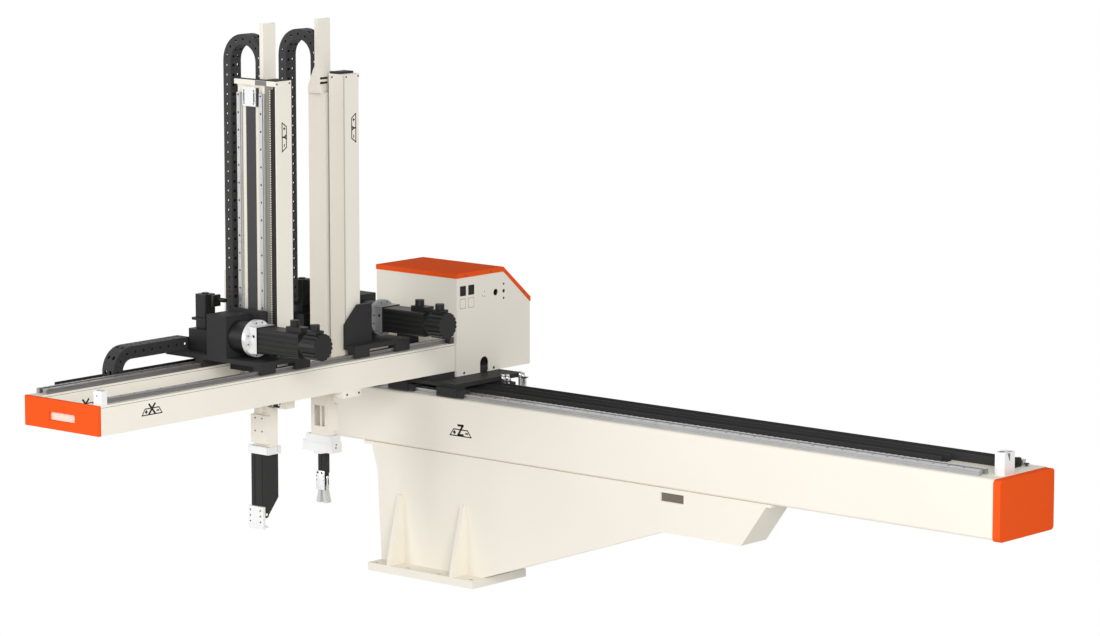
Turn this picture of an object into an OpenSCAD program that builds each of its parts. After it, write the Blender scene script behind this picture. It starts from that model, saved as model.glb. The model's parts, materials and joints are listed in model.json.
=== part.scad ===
// Injection moulding take-out robot: a pedestal with a long traverse beam, a
// carriage with a crosswise frame and a control cabinet, and two telescopic
// arms that travel on the frame. The main arm carries a tilting tool plate,
// the sub arm a sprue gripper. Millimetres, +Z up. The origin is the centre of
// the base plate's underside. +X runs along the traverse beam, and -Y points
// from the pedestal out over the mould.

/* [Base and pedestal] */
// Length of the base plate along X
base_len = 496; // [460:4:560]
// Depth of the base plate along Y
base_dep = 282; // [256:2:340]
// Thickness of the base plate
base_t = 28; // [20:1:40]
// Distance from the plate's ends to the outer base bolts
base_bolt_margin_x = 24.5; // [20:0.5:40]
// Distance from the plate's long edges to the rows of base bolts
base_bolt_margin_y = 21; // [18:0.5:30]
// Diameter of a base bolt hole
base_bolt_d = 14; // [10:1:20]
// Height of the pedestal above the base plate, without its flange
pedestal_h = 409; // [360:5:480]
// Depth of the pedestal along Y
pedestal_dep = 135; // [110:5:180]
// Length of the pedestal's top under the beam
pedestal_len = 1767; // [1500:1:1900]
// Depth of the pedestal's bracket below the flange
bracket_drop = 142; // [120:1:200]
// Wall of the pedestal's welded housing
pedestal_wall = 10; // [6:1:16]
// Thickness of the flange that carries the beam
flange_t = 10; // [8:1:14]
// Thickness of a gusset plate
gusset_t = 17; // [10:1:24]
// Height of a gusset above the base plate
gusset_h = 246; // [180:2:300]
// Distance between the two gussets on each side
gusset_gap = 297; // [240:1:330]

/* [Traverse beam] */
// Length of the traverse beam without its end caps
beam_len = 2858; // [2700:2:3000]
// Depth of the traverse beam along Y
beam_dep = 300; // [280:5:340]
// Height of the traverse beam
beam_h = 196; // [170:2:240]
// Wall of the traverse beam
beam_wall = 12; // [8:1:18]
// Radius of the beam's long edges
beam_r = 10; // [4:1:16]
// Thickness of the beam's end caps
beam_cap_t = 28; // [8:1:34]
// How far the beam reaches past the base centre on the short side
beam_left = 480; // [440:5:520]
// Width of a traverse rail
rail_w = 20; // [16:1:25]
// Height of a traverse rail
rail_h = 18; // [14:1:22]
// Height of the rail blocks over the beam's top
stack_h = 34.6; // [30:0.2:38]
// Width of the traverse rack
rack_w = 16; // [12:1:20]
// Pitch of the rack teeth
rack_pitch = 24; // [16:1:40]

/* [Carriage and cabinet] */
// Length of the carriage plate along X
plate_len = 485; // [460:5:520]
// Depth of the carriage plate along Y
plate_dep = 348; // [335:1:370]
// Thickness of the carriage plate
plate_t = 15; // [12:1:20]
// Height of the spacers under the crosswise frame
spacer_h = 20.4; // [16:0.2:30]
// Width of the cabinet along X
cabinet_len = 382; // [340:2:400]
// Depth of the cabinet along Y
cabinet_dep = 391; // [340:1:420]
// Height of the cabinet up to its lid's top
cabinet_h = 365; // [300:1:400]
// Sheet thickness of the cabinet
cabinet_wall = 3; // [2:0.5:5]
// Height of the lid's skirt
lid_skirt = 17; // [12:1:30]
// Depth of the level part of the lid
lid_flat = 247; // [180:1:280]
// Drop of the lid's sloping part
lid_drop = 123; // [60:1:140]

/* [Crosswise frame] */
// Length of the crosswise beams along Y
cross_len = 1701; // [1600:1:1750]
// Height of a crosswise beam
cross_h = 99; // [90:1:120]
// Width of a crosswise beam
cross_w = 55; // [50:1:62]
// Clear opening between the crosswise beams
cross_gap = 238; // [232:1:260]
// Wall of a crosswise beam
cross_wall = 5; // [4:1:8]
// Thickness of the end cap
cross_cap_t = 12; // [6:1:16]
// Width of a crosswise rail
cross_rail_w = 20; // [15:1:23]
// Height of a crosswise rail
cross_rail_h = 17; // [14:1:20]
// Height of a saddle plate's underside over the beams
saddle_gap = 30; // [24:0.5:34]
// Travel of the main saddle towards the end cap
main_cross_travel = 420; // [300:10:430]

/* [Saddles] */
// Thickness of a saddle plate
saddle_t = 16; // [12:1:20]
// Length of the main saddle along Y
main_saddle_len = 240; // [220:1:260]
// Length of the sub saddle along Y
sub_saddle_len = 276; // [250:1:290]
// Length of a bearing foot along Y
foot_len = 73; // [60:1:80]
// Diameter of the lift gearbox
gearbox_d = 108; // [90:1:109]
// Diameter of the gearbox's bright ring
ring_d = 126; // [110:1:130]
// Side of the square motor adapter
adapter_w = 90; // [70:1:100]
// Length of the lift motor's body
motor_len = 190; // [150:2:220]
// Side of the lift motor's body
motor_w = 84; // [70:1:90]
// Length of the motor's finned end bell
bell_len = 75; // [66:1:130]
// Height of a lift motor's axis over the saddle plate
motor_axis_h = 70; // [66:1:90]
// Radius of the lift belt's pulley
pulley_r = 33; // [24:1:38]

/* [Telescopic arms] */
// Length of the first stage
stage_len = 1114; // [1050:2:1150]
// Top of the first stage over the saddle plate
stage_top = 930; // [900:2:960]
// Half of the distance between the two arm rails
arm_rail_half = 52.5; // [48:0.5:56]
// Width of an arm rail
arm_rail_w = 15; // [12:1:16]
// Height of an arm rail
arm_rail_h = 12.5; // [10:0.5:13]
// Thickness of the first stage's profile
profile_t = 22; // [18:1:25]
// Depth of the cover beside the second stage
cover_dep = 77; // [72:1:84]
// Sheet thickness of the cover
cover_wall = 3; // [2:0.5:4]
// Height of the top plate
top_plate_h = 17; // [12:1:24]
// Width of the second stage's tube along X
tube_w = 79; // [70:1:80]
// Depth of the second stage's tube along Y
tube_dep = 34; // [30:1:40]
// Wall of the second stage's tube
tube_wall = 4; // [3:0.5:6]
// Length of the second stage's tube
tube_len = 1193; // [1150:2:1220]
// How far the tube reaches below the first stage
nose_reach = 145; // [130:1:200]
// Height of the post over the tube's top
post_h = 253; // [200:1:280]

/* [Cable chains] */
// Width of a cable chain across its links
chain_w = 50; // [44:1:52]
// Height of a cable chain's side plates
chain_t = 35; // [28:1:38]
// Outer radius of a chain's bend
chain_r = 94; // [88:1:97]
// Pitch of the chain links
chain_pitch = 32.5; // [28:0.5:38]
// Thickness of a side plate
chain_plate = 4; // [3:0.5:6]

/* [Wrist and gripper] */
// Width of the wrist housing along X
wrist_w = 58; // [50:1:60]
// Depth of the wrist housing along Y
wrist_dep = 72; // [60:1:76]
// Height of the wrist housing's straight body
wrist_h = 157; // [140:1:170]
// Radius of the wrist pin
wrist_pin_r = 5; // [4:0.5:7]
// Width of the tool plate
tool_w = 72; // [66:1:80]
// Height of the tool plate
tool_h = 78; // [72:1:84]
// Thickness of the tool plate
tool_t = 9.7; // [8:0.1:10]
// Spacing of the tool plate's holes across
tool_hole_x = 45; // [40:1:50]
// Spacing of the tool plate's rows of holes
tool_hole_z = 19; // [17:1:22]
// Diameter of a tool plate hole
tool_hole_d = 5; // [4:0.5:6]
// Width of the sprue gripper's body
gripper_w = 29; // [26:1:36]
// Length of a gripper jaw below its pin
jaw_len = 58; // [45:1:64]
// Depth of a gripper jaw along Y
jaw_dep = 22; // [16:1:24]
// Opening angle of each jaw at rest
jaw_open = 8; // [6:0.5:10]

/* [Hidden] */
NODES = ["base_plate", "pedestal", "pedestal_gussets", "traverse_beam",
    "traverse_end_caps", "traverse_rails", "traverse_rack", "traverse_cable_trays",
    "traverse_stops", "carriage_plate", "traverse_blocks", "crosswise_near_beam",
    "crosswise_far_beam", "crosswise_cross_members", "crosswise_end_cap",
    "crosswise_rails", "crosswise_racks", "crosswise_stops", "crosswise_chain_tray",
    "crosswise_chain_bend", "crosswise_chain_lower_run", "cabinet", "cabinet_lid", "traverse_servo",
    "traverse_pinion", "main_saddle", "main_guide_bracket", "main_drive_housing",
    "main_lift_servo", "main_cross_servo", "main_cross_pinion", "main_chain_bracket",
    "main_chain_fixed_leg", "main_chain_upper_run", "main_lift_pulley",
    "main_stage_profile", "main_stage_rails", "main_lift_belt", "main_stage_cover",
    "main_chain_bend", "main_tube", "main_chain_moving_leg",
    "main_wrist_clamp", "main_wrist_housing", "main_tool_plate", "sub_saddle",
    "sub_drive_housing", "sub_lift_servo", "sub_cross_servo",
    "sub_chain_fixed_leg", "sub_stage_profile", "sub_stage_rails",
    "sub_stage_cover", "sub_chain_bend", "sub_tube", "sub_chain_moving_leg",
    "sub_gripper_mount", "sub_gripper_body", "sub_jaw_left", "sub_jaw_right"];
$fn = 48;

// Running clearance of what slides or turns
run_gap = 0.3;
// Clearance of a shaft in its bore
shaft_gap = 0.05;
pin_gap = 0.05;

// Heights of the stack, from the floor of the base to the saddles
pedestal_top = base_t + pedestal_h;
beam_z = pedestal_top + flange_t;
beam_top = beam_z + beam_h;
plate_z = beam_top + stack_h;
plate_top = plate_z + plate_t;
cross_z = plate_top + spacer_h;
cross_top = cross_z + cross_h;
saddle_z = cross_top + saddle_gap;
saddle_top = saddle_z + saddle_t;

// Base and pedestal
pedestal_setback = 71;
pedestal_y = -base_dep / 2 + pedestal_setback;
pedestal_left = -base_len / 2;
pedestal_flare = 42;
flare_drop = 88;
pedestal_right = pedestal_left - pedestal_flare + pedestal_len;
bracket_z = pedestal_top - bracket_drop;
bracket_slant = 103;
bracket_flat_x = pedestal_right - bracket_slant - 340;
column_right = base_len / 2 - 8;
column_draft = 17;
hand_slot = [99, 30, 7];
hand_slot_x = pedestal_right - 447;
flange_over = 39;
gusset_x = pedestal_left + 98.5;
gusset_toe = 10;
gusset_flat = 12;

// Traverse beam
beam_x = -beam_left;
beam_right = beam_x + beam_len;
beam_y = pedestal_y;
beam_back = beam_y + beam_dep;
rail_near_y = beam_y + 27;
rail_far_y = beam_back - 32;
rail_margin = 67;
block_w = 48;
rack_y = rail_near_y + block_w / 2 + 2;
rack_h = rail_h;
rack_tooth = 4;
rack_face_y = rack_y + rack_w;
tray_y = beam_y + 190;
tray_dep = 52;
tray_h = 28;
duct_y = beam_y + 116;
duct_dep = 55;
duct_h = 22;
tray_right = beam_right - 60;
duct_right = beam_right - 284;
stop_y = beam_y + 67;
stop_len = [38, 55, 74];

// Carriage
plate_x = -385;
plate_y = beam_y + 14;
plate_right = plate_x + plate_len;
block_len = 93;
block_lift = 4;
block_xs = [plate_x, -215, plate_right + 8 - block_len];
wiper_len = 26;
pinion_r = 20;
pinion_h = 16;
pinion_x = -195;
pinion_y = rack_face_y + run_gap + pinion_r;
pinion_shaft_r = 8;
servo_flange = 70;
servo_w = 54;

// Crosswise frame
cross_x = -361;
cross_far_in = cross_x + cross_w;
cross_near_in = cross_far_in + cross_gap;
cross_right = cross_near_in + cross_w;
cross_mid = (cross_far_in + cross_near_in) / 2;
cross_back = 60;
cross_front = cross_back - cross_len;
member_t = 12;
near_rail_x = cross_right - 30;
far_rail_x = cross_far_in - 13;
cross_rail_front = cross_front + 38;
cross_rail_back = cross_back - 25;
cross_rack_w = 14;
cross_rack_x = cross_x + 3;
cap_slot = [125, 28];
chain_lane_x = cross_x - 117;
tray_wall = 3;
tray_gap = 5;
run_chain_w = 56;
run_chain_t = 43;
run_chain_r = 83;
run_chain_y = cross_front + 529;
run_chain_z = saddle_top - run_chain_r + run_chain_t;
run_tray_front = run_chain_y - main_cross_travel / 2 - run_chain_r;
run_tray_z = run_chain_z - run_chain_r - tray_wall - run_gap;

// Cabinet
cabinet_x = plate_x - 4;
cabinet_y = cross_back + 5;
cabinet_top = plate_top + cabinet_h;

// Saddles
foot_w = 34;
main_y = cross_front + 893;
sub_y = main_y + 410;
arm_x = cross_mid - 25.5;
main_saddle_y = main_y - 148;
sub_saddle_y = sub_y - 96;
saddle_right = near_rail_x + foot_w / 2;
saddle_left = cross_x - 30;
notch_left = -82;
notch_right = 131;
notch_gap = 6;
guide_gap = 17;
guide_t = 15;
guide_block = [34, 25, 60];
guide_h = 152;
guide_left = -72.5;
guide_right = 86.5;
skirt_h = 45;
housing_left = -67.5;
housing_right = 25.5;
housing_h = 142;
main_axis_y = -87;
sub_axis_y = -120;
pulley_w = 44;
cross_pinion_r = 14;
cross_pinion_x = cross_rack_x - run_gap - cross_pinion_r;
cross_pinion_h = 16;
cross_shaft_r = 6;

// Telescopic arms, seen from the arm's own origin: the middle between the two
// rails, the rails' front plane and the saddle plate's top
stage_z = stage_top - stage_len;
profile_left = -65.5;
profile_right = 118.5;
profile_back = arm_rail_h + profile_t;
boss_half = 38;
boss_t = 3.5;
belt_t = 3.5;
strip_dep = 8;
cover_right = profile_right + 4;
cover_left = 53.5;
cover_foot_h = 24;
tube_y = 48;
tube_z = stage_z - nose_reach;
tube_top = tube_z + tube_len;
tube_rail_w = 15;
tube_rail_h = 11;
nose_plate = [98, 17];
nose_plate_z = tube_z + 10;
post_x = 23.5;
post_t = 4;
post_dep = 59;
fold_t = 3;
post_y = tube_y - 6;
chain_y = tube_y - 2;
chain_x = -73.5;
chain_z = stage_top + 53;
chain_foot_z = 123;
chain_end_z = tube_top;

// Wrist
clamp_h = 26;
clamp_w = 97;
clamp_dep = 64;
clamp_y = 24;
wrist_top = tube_z - clamp_h;
wrist_y = 25;
wrist_x = -4;
wrist_pivot_y = wrist_y + 13;
wrist_pivot_z = wrist_top - wrist_h - 53;
nose_r = 12.6;
lug_w = 17;
lug_slot = 18;
tool_x = wrist_x;
tool_z = wrist_pivot_z - 49;
tool_y = wrist_y - run_gap - tool_t;
tool_hole_mid_x = -8.6;
tool_hole_mid_z = wrist_pivot_z - 7;

// Sprue gripper
grip_x = -13.5;
grip_y = 48.5;
mount_h = 26;
lower_mount_h = 42;
grip_top = tube_z - mount_h - lower_mount_h;
grip_body_h = 73;
grip_pin_z = grip_top - 120;
grip_pin_half = 8;
grip_pin_r = 2.5;
grip_plate_t = 4;

echo(sub_nodes = len(NODES));

// A box between two opposite corners
module slab(lo, hi) {
    translate(lo) cube([hi.x - lo.x, hi.y - lo.y, hi.z - lo.z]);
}

// A rectangle from the origin with rounded corners
module round_rect(w, h, r) {
    translate([r, 0]) square([w - 2 * r, h]);
    translate([0, r]) square([w, h - 2 * r]);
    for (x = [r, w - r], y = [r, h - r]) translate([x, y]) circle(r);
}

// Sweeps an outline in X and Z along Y, from y0 to y1
module along_y(y0, y1) {
    translate([0, y1, 0]) rotate([90, 0, 0]) linear_extrude(y1 - y0) children();
}

// Sweeps an outline in Y and Z along X, from x0 to x1
module along_x(x0, x1) {
    translate([x0, 0, 0]) rotate([90, 0, 90]) linear_extrude(x1 - x0) children();
}

// A round bar along X, Y or Z
module bar_x(x0, x1, y, z, r) {
    translate([x0, y, z]) rotate([0, 90, 0]) cylinder(h = x1 - x0, r = r);
}
module bar_y(x, y0, y1, z, r) {
    translate([x, y1, z]) rotate([90, 0, 0]) cylinder(h = y1 - y0, r = r);
}
module bar_z(x, y, z0, z1, r) {
    translate([x, y, z0]) cylinder(h = z1 - z0, r = r);
}

// Section of a guide rail: wide foot, waist and head
module rail_section(w, h) {
    waist = w * 0.14;
    polygon([[-w / 2, 0], [w / 2, 0], [w / 2, h * 0.3], [w / 2 - waist, h * 0.45],
        [w / 2 - waist, h * 0.6], [w / 2, h * 0.75], [w / 2, h], [-w / 2, h],
        [-w / 2, h * 0.75], [-w / 2 + waist, h * 0.6], [-w / 2 + waist, h * 0.45],
        [-w / 2, h * 0.3]]);
}

// Section of a bearing block around a rail, open below
module block_section(w, top, rail_width, rail_height) {
    difference() {
        translate([-w / 2, block_lift]) square([w, top - block_lift]);
        translate([-rail_width / 2 - run_gap, 0])
            square([rail_width + 2 * run_gap, rail_height + run_gap]);
    }
}

// Outline of the pedestal in X and Z, drawn in by a wall
module pedestal_outline(inset) {
    top = pedestal_top - inset;
    polygon([
        [pedestal_left + inset, base_t + inset],
        [pedestal_left - column_draft + inset, pedestal_top - flare_drop],
        [pedestal_left - pedestal_flare + inset, top - 5],
        [pedestal_left - pedestal_flare + inset, top],
        [pedestal_right - 2 * inset, top],
        [pedestal_right - bracket_slant - 2 * inset, bracket_z + inset],
        [bracket_flat_x - 0.5 * inset, bracket_z + inset],
        [column_right - 2.5 * inset, base_t + inset]]);
}

module base_plate() {
    color("ivory") difference() {
        slab([-base_len / 2, -base_dep / 2, 0], [base_len / 2, base_dep / 2, base_t]);
        for (i = [-1.5 : 1.5], j = [-0.5, 0.5])
            bar_z(i * (base_len - 2 * base_bolt_margin_x) / 3, j * (base_dep - 2 * base_bolt_margin_y),
                -1, base_t + 1, base_bolt_d / 2);
    }
}

module pedestal() {
    y1 = pedestal_y + pedestal_dep;
    color("ivory") {
        difference() {
            along_y(pedestal_y, y1) pedestal_outline(0);
            along_y(pedestal_y + pedestal_wall, y1 - pedestal_wall)
                pedestal_outline(pedestal_wall);
            translate([hand_slot_x, 0, pedestal_top - 5 - hand_slot.y])
                along_y(pedestal_y - 1, pedestal_y + hand_slot.z)
                    round_rect(hand_slot.x, hand_slot.y, 2);
        }
        slab([pedestal_left - pedestal_flare - flange_over, beam_y, pedestal_top],
            [pedestal_right + flange_over / 2, beam_back, beam_z]);
    }
}

module pedestal_gussets() {
    y1 = pedestal_y + pedestal_dep;
    rim = base_dep / 2;
    color("ivory") for (x = [gusset_x, gusset_x + gusset_gap])
        along_x(x - gusset_t / 2, x + gusset_t / 2) {
            polygon([[-rim, base_t], [pedestal_y, base_t], [pedestal_y, base_t + gusset_h],
                [pedestal_y - gusset_flat, base_t + gusset_h], [-rim, base_t + gusset_toe]]);
            polygon([[y1, base_t], [rim, base_t], [rim, base_t + gusset_toe],
                [y1 + gusset_flat, base_t + gusset_h], [y1, base_t + gusset_h]]);
        }
}

module traverse_beam() {
    color("ivory") along_x(beam_x, beam_right) difference() {
        translate([beam_y, beam_z]) round_rect(beam_dep, beam_h, beam_r);
        translate([beam_y + beam_wall, beam_z + beam_wall])
            square([beam_dep - 2 * beam_wall, beam_h - 2 * beam_wall]);
    }
}

module traverse_end_caps() {
    color("orangered") for (x = [beam_x - beam_cap_t, beam_right])
        along_x(x, x + beam_cap_t) translate([beam_y, beam_z - 5])
            round_rect(beam_dep, beam_h + 4, beam_r + 4);
}

module traverse_rails() {
    color("silver") for (y = [rail_near_y, rail_far_y])
        along_x(beam_x + rail_margin, beam_right - rail_margin)
            translate([y, beam_top]) rail_section(rail_w, rail_h);
}

module traverse_rack() {
    x0 = beam_x + rail_margin;
    x1 = beam_right - rail_margin;
    color("silver") difference() {
        slab([x0, rack_y, beam_top], [x1, rack_face_y, beam_top + rack_h]);
        for (x = [x0 + rack_pitch : rack_pitch : x1 - rack_pitch])
            slab([x - rack_pitch / 4, rack_face_y - rack_tooth, beam_top + rack_h / 4],
                [x + rack_pitch / 4, rack_face_y + 1, beam_top + rack_h + 1]);
    }
}

// An open channel along X on the beam's top
module beam_channel(x1, y, dep, h, wall) {
    x0 = beam_x + rail_margin;
    difference() {
        slab([x0, y, beam_top], [x1, y + dep, beam_top + h]);
        slab([x0 - 1, y + wall, beam_top + wall], [x1 + 1, y + dep - wall, beam_top + h + 1]);
    }
}

module traverse_cable_trays() {
    color("dimgray") {
        beam_channel(tray_right, tray_y, tray_dep, tray_h, tray_wall);
        beam_channel(duct_right, duct_y, duct_dep, duct_h, tray_wall);
    }
}

module traverse_stops() {
    color("whitesmoke") {
        slab([beam_right - 3 - stop_len.x, stop_y, beam_top],
            [beam_right - 3, stop_y + stop_len.y, beam_top + stop_len.z]);
        slab([beam_x + 3, stop_y, beam_top],
            [beam_x + rail_margin - 8, stop_y + stop_len.y, beam_top + stop_len.z / 2]);
    }
}

module carriage_plate() {
    color("dimgray") difference() {
        union() {
            slab([plate_x, plate_y, plate_z], [plate_right, plate_y + plate_dep, plate_top]);
            for (x = [cross_x, cross_near_in])
                slab([x, plate_y + 6, plate_top], [x + cross_w, cross_back, cross_z]);
        }
        bar_z(pinion_x, pinion_y, plate_z - 1, plate_top + 1, pinion_shaft_r + shaft_gap);
    }
}

module traverse_blocks() {
    color("gray") for (x = block_xs, y = [rail_near_y, rail_far_y])
        translate([x, y, beam_top]) {
            along_x(0, block_len) block_section(block_w, stack_h, rail_w, rail_h);
            along_x(block_len, block_len + wiper_len)
                block_section(block_w - 8, stack_h - 6, rail_w, rail_h);
        }
}

module traverse_servo() {
    z0 = plate_top;
    flange_top = z0 + 12;
    neck_top = flange_top + 40;
    body_top = neck_top + 96;
    color("dimgray") difference() {
        union() {
            slab([pinion_x - servo_flange / 2, pinion_y - servo_flange / 2, z0],
                [pinion_x + servo_flange / 2, pinion_y + servo_flange / 2 - 8, flange_top]);
            bar_z(pinion_x, pinion_y - 4, flange_top, neck_top, 25);
            slab([pinion_x - servo_w / 2, pinion_y - servo_w / 2 - 4, neck_top],
                [pinion_x + servo_w / 2, pinion_y + servo_w / 2 - 4, body_top]);
        }
        bar_z(pinion_x, pinion_y, z0 - 1, z0 + 21, pinion_shaft_r + shaft_gap);
    }
}

// A pinion with square teeth and its shaft
module pinion(x, y, z, h, r, shaft_r, shaft_top, teeth) {
    difference() {
        union() {
            bar_z(x, y, z, z + h, r);
            bar_z(x, y, z + h, shaft_top, shaft_r);
        }
        for (i = [0 : teeth - 1]) translate([x, y, z - 1]) rotate(i * 360 / teeth)
            translate([r - 2.5, -r * 0.12, 0]) cube([4, r * 0.24, h + 2]);
    }
}

module traverse_pinion() {
    color("silver") pinion(pinion_x, pinion_y, beam_top + 2, pinion_h, pinion_r,
        pinion_shaft_r, plate_top + 20, 12);
}

// A hollow crosswise beam whose low X side is at x
module cross_beam(x) {
    color("ivory") along_y(cross_front, cross_back) difference() {
        translate([x, cross_z]) square([cross_w, cross_h]);
        translate([x + cross_wall, cross_z + cross_wall])
            square([cross_w - 2 * cross_wall, cross_h - 2 * cross_wall]);
    }
}

module crosswise_near_beam() cross_beam(cross_near_in);

module crosswise_far_beam() cross_beam(cross_x);

module crosswise_cross_members() {
    color("ivory") for (y = [cross_front, cross_back - member_t])
        slab([cross_far_in, y, cross_z], [cross_near_in, y + member_t, cross_top - 8]);
}

module crosswise_end_cap() {
    color("orangered") along_y(cross_front - cross_cap_t, cross_front) difference() {
        translate([cross_x, cross_z]) square([cross_right - cross_x, cross_h]);
        translate([cross_mid - cap_slot.x / 2, cross_z + cross_h / 2 - cap_slot.y / 2 - 6])
            round_rect(cap_slot.x, cap_slot.y, 4);
    }
}

module crosswise_rails() {
    color("dimgray") for (x = [near_rail_x, far_rail_x])
        along_y(cross_rail_front, cross_rail_back)
            translate([x, cross_top]) rail_section(cross_rail_w, cross_rail_h);
}

module crosswise_racks() {
    y0 = cross_rail_front;
    y1 = cross_rail_back;
    color("gray") difference() {
        slab([cross_rack_x, y0, cross_top], [cross_rack_x + cross_rack_w, y1, cross_top + cross_rail_h]);
        for (y = [y0 + rack_pitch : rack_pitch : y1 - rack_pitch])
            slab([cross_rack_x - 1, y - rack_pitch / 4, cross_top + 4],
                [cross_rack_x + 3, y + rack_pitch / 4, cross_top + cross_rail_h + 1]);
    }
}

module crosswise_stops() {
    color("whitesmoke") {
        slab([near_rail_x - 7, cross_front + 3, cross_top],
            [cross_right, cross_front + 28, cross_top + 47]);
        slab([near_rail_x - 7, cross_back - 22, cross_top],
            [cross_right, cross_back - 4, cross_top + 22]);
    }
}

module crosswise_chain_tray() {
    x0 = chain_lane_x - tray_gap - tray_wall;
    x1 = chain_lane_x + run_chain_w + tray_gap + tray_wall;
    color("dimgray") {
        difference() {
            slab([x0, run_tray_front, run_tray_z], [x1, cross_back - 5, cross_top - 3]);
            slab([x0 + tray_wall, run_tray_front - 1, run_tray_z + tray_wall],
                [x1 - tray_wall, cross_back, cross_top]);
        }
        for (i = [0 : 3])
            slab([x1, run_tray_front + 60 + i * 430, run_tray_z + 10],
                [cross_x, run_tray_front + 100 + i * 430, run_tray_z + 16]);
    }
}

// A straight length of cable chain along +Y from the origin: two side plates
// with a hole at each link's pin, and two cross bars in each link
module chain_run(len, w, t) {
    links = floor(len / chain_pitch);
    for (x = [0, w - chain_plate]) difference() {
        slab([x, 0, 0], [x + chain_plate, len, t]);
        for (i = [0 : links - 1])
            bar_x(x - 1, x + chain_plate + 1, (i + 0.5) * chain_pitch, t / 2, 3);
    }
    for (i = [0 : links - 1], z = [0, t - 3])
        slab([chain_plate, (i + 0.1) * chain_pitch, z],
            [w - chain_plate, (i + 0.88) * chain_pitch, z + 3]);
}

// The bend of a cable chain: half a ring about X at the origin, opening to -Z
// when turned as drawn, with its side plates, pin holes and cross bars
module chain_bend(w, t, r) {
    steps = floor(PI * (r - t / 2) / chain_pitch);
    for (x = [0, w - chain_plate]) difference() {
        along_x(x, x + chain_plate) difference() {
            circle(r, $fn = 96);
            circle(r - t, $fn = 96);
            translate([-r - 1, -2 * r]) square([2 * r + 2, 2 * r]);
        }
        for (i = [0 : steps - 1]) rotate([(i + 0.5) * 180 / steps, 0, 0])
            bar_x(x - 1, x + chain_plate + 1, r - t / 2, 0, 3);
    }
    for (i = [0 : steps - 1], c = [r - t, r - 5.5]) rotate([(i + 0.5) * 180 / steps, 0, 0])
        slab([chain_plate, c, -0.36 * PI * c / steps], [w - chain_plate, c + 3, 0.36 * PI * c / steps]);
}

module crosswise_chain_bend() {
    color("dimgray") translate([chain_lane_x, run_chain_y, run_chain_z]) rotate([90, 0, 0])
        chain_bend(run_chain_w, run_chain_t, run_chain_r);
}

module crosswise_chain_lower_run() {
    color("dimgray") translate([chain_lane_x, run_chain_y, run_chain_z - run_chain_r])
        chain_run(cross_back - 15 - run_chain_y, run_chain_w, run_chain_t);
}

module main_chain_upper_run() {
    z = run_chain_z + run_chain_r - run_chain_t;
    color("dimgray") translate([chain_lane_x, run_chain_y, z])
        chain_run(main_saddle_y + 56 - run_chain_y, run_chain_w, run_chain_t);
}

module cabinet() {
    top = cabinet_top - lid_skirt;
    low = cabinet_top - lid_drop - lid_skirt;
    y1 = cabinet_y + cabinet_dep;
    x1 = cabinet_x + cabinet_len;
    w = cabinet_wall;
    color("ivory") difference() {
        along_x(cabinet_x, x1) polygon([[cabinet_y, plate_top], [y1, plate_top],
            [y1, low], [cabinet_y + lid_flat, top], [cabinet_y, top]]);
        along_x(cabinet_x + w, x1 - w) polygon([[cabinet_y + w, plate_top + w],
            [y1 - w, plate_top + w], [y1 - w, low - 2 * w], [cabinet_y + lid_flat - w, top - w],
            [cabinet_y + w, top - w]]);
        along_x(x1 - w - 1, x1 + 1) {
            translate([cabinet_y + 123, plate_top - 1]) square([44, 34]);
            translate([cabinet_y + 145, plate_top + 33]) circle(22);
        }
        bar_x(x1 - w - 1, x1 + 1, cabinet_y + 207, cabinet_top - 87, 12);
    }
}

module cabinet_lid() {
    over = 2;
    x0 = cabinet_x - over;
    x1 = cabinet_x + cabinet_len + over;
    y0 = cabinet_y - over;
    y1 = cabinet_y + cabinet_dep + over;
    low = cabinet_top - lid_drop;
    bend = cabinet_y + lid_flat;
    color("orangered") difference() {
        along_x(x0, x1) polygon([[y0, cabinet_top], [bend, cabinet_top], [y1, low],
            [y1, low - lid_skirt], [bend, cabinet_top - lid_skirt], [y0, cabinet_top - lid_skirt]]);
        along_x(cabinet_x, x1 - over) polygon([[cabinet_y, cabinet_top - lid_skirt],
            [bend, cabinet_top - lid_skirt], [y1 - over, low - lid_skirt],
            [y1 - over, low - lid_skirt - 5], [bend, cabinet_top - lid_skirt - 5],
            [cabinet_y, cabinet_top - lid_skirt - 5]]);
    }
}

// Feet of a saddle that starts at y and is len long, around one crosswise rail
module saddle_feet(x, y, len) {
    for (y0 = [y, y + len - foot_len]) along_y(y0, y0 + foot_len)
        translate([x, cross_top]) block_section(foot_w, saddle_gap, cross_rail_w, cross_rail_h);
}

// A saddle plate with its feet, cut out round the arm at arm_y; the notch opens
// towards side, which is 1 for the main arm and -1 for the sub arm
module saddle(left, y, len, arm_y, side, pinion_at) {
    y1 = y + len;
    edge = arm_y - side * notch_gap;
    color("dimgray") difference() {
        union() {
            slab([left, y, saddle_z], [saddle_right, y1, saddle_top]);
            saddle_feet(near_rail_x, y, len);
            saddle_feet(far_rail_x, y, len);
            translate([arm_x, arm_y - side * (guide_gap + guide_t / 2), 0])
                slab([guide_left, -guide_t / 2, saddle_z - skirt_h], [guide_right, guide_t / 2, saddle_z]);
        }
        slab([arm_x + notch_left, min(edge, side * 9999), saddle_z - 1],
            [arm_x + notch_right, max(edge, side * 9999), saddle_top + 1]);
        bar_z(cross_pinion_x, pinion_at, saddle_z - 1, saddle_top + 1, cross_shaft_r + shaft_gap);
    }
}

main_servo_y = main_y - 65;
sub_servo_y = sub_y - 1;

module main_saddle() saddle(chain_lane_x, main_saddle_y, main_saddle_len, main_y, 1, main_servo_y);

module sub_saddle() saddle(saddle_left, sub_saddle_y, sub_saddle_len, sub_y, -1, sub_servo_y);

// Places a piece drawn in an arm's own frame on the main or the sub arm
module on_main() translate([arm_x, main_y, saddle_top]) children();

module on_sub() translate([arm_x, sub_y, saddle_top]) mirror([0, 1, 0]) children();

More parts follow.
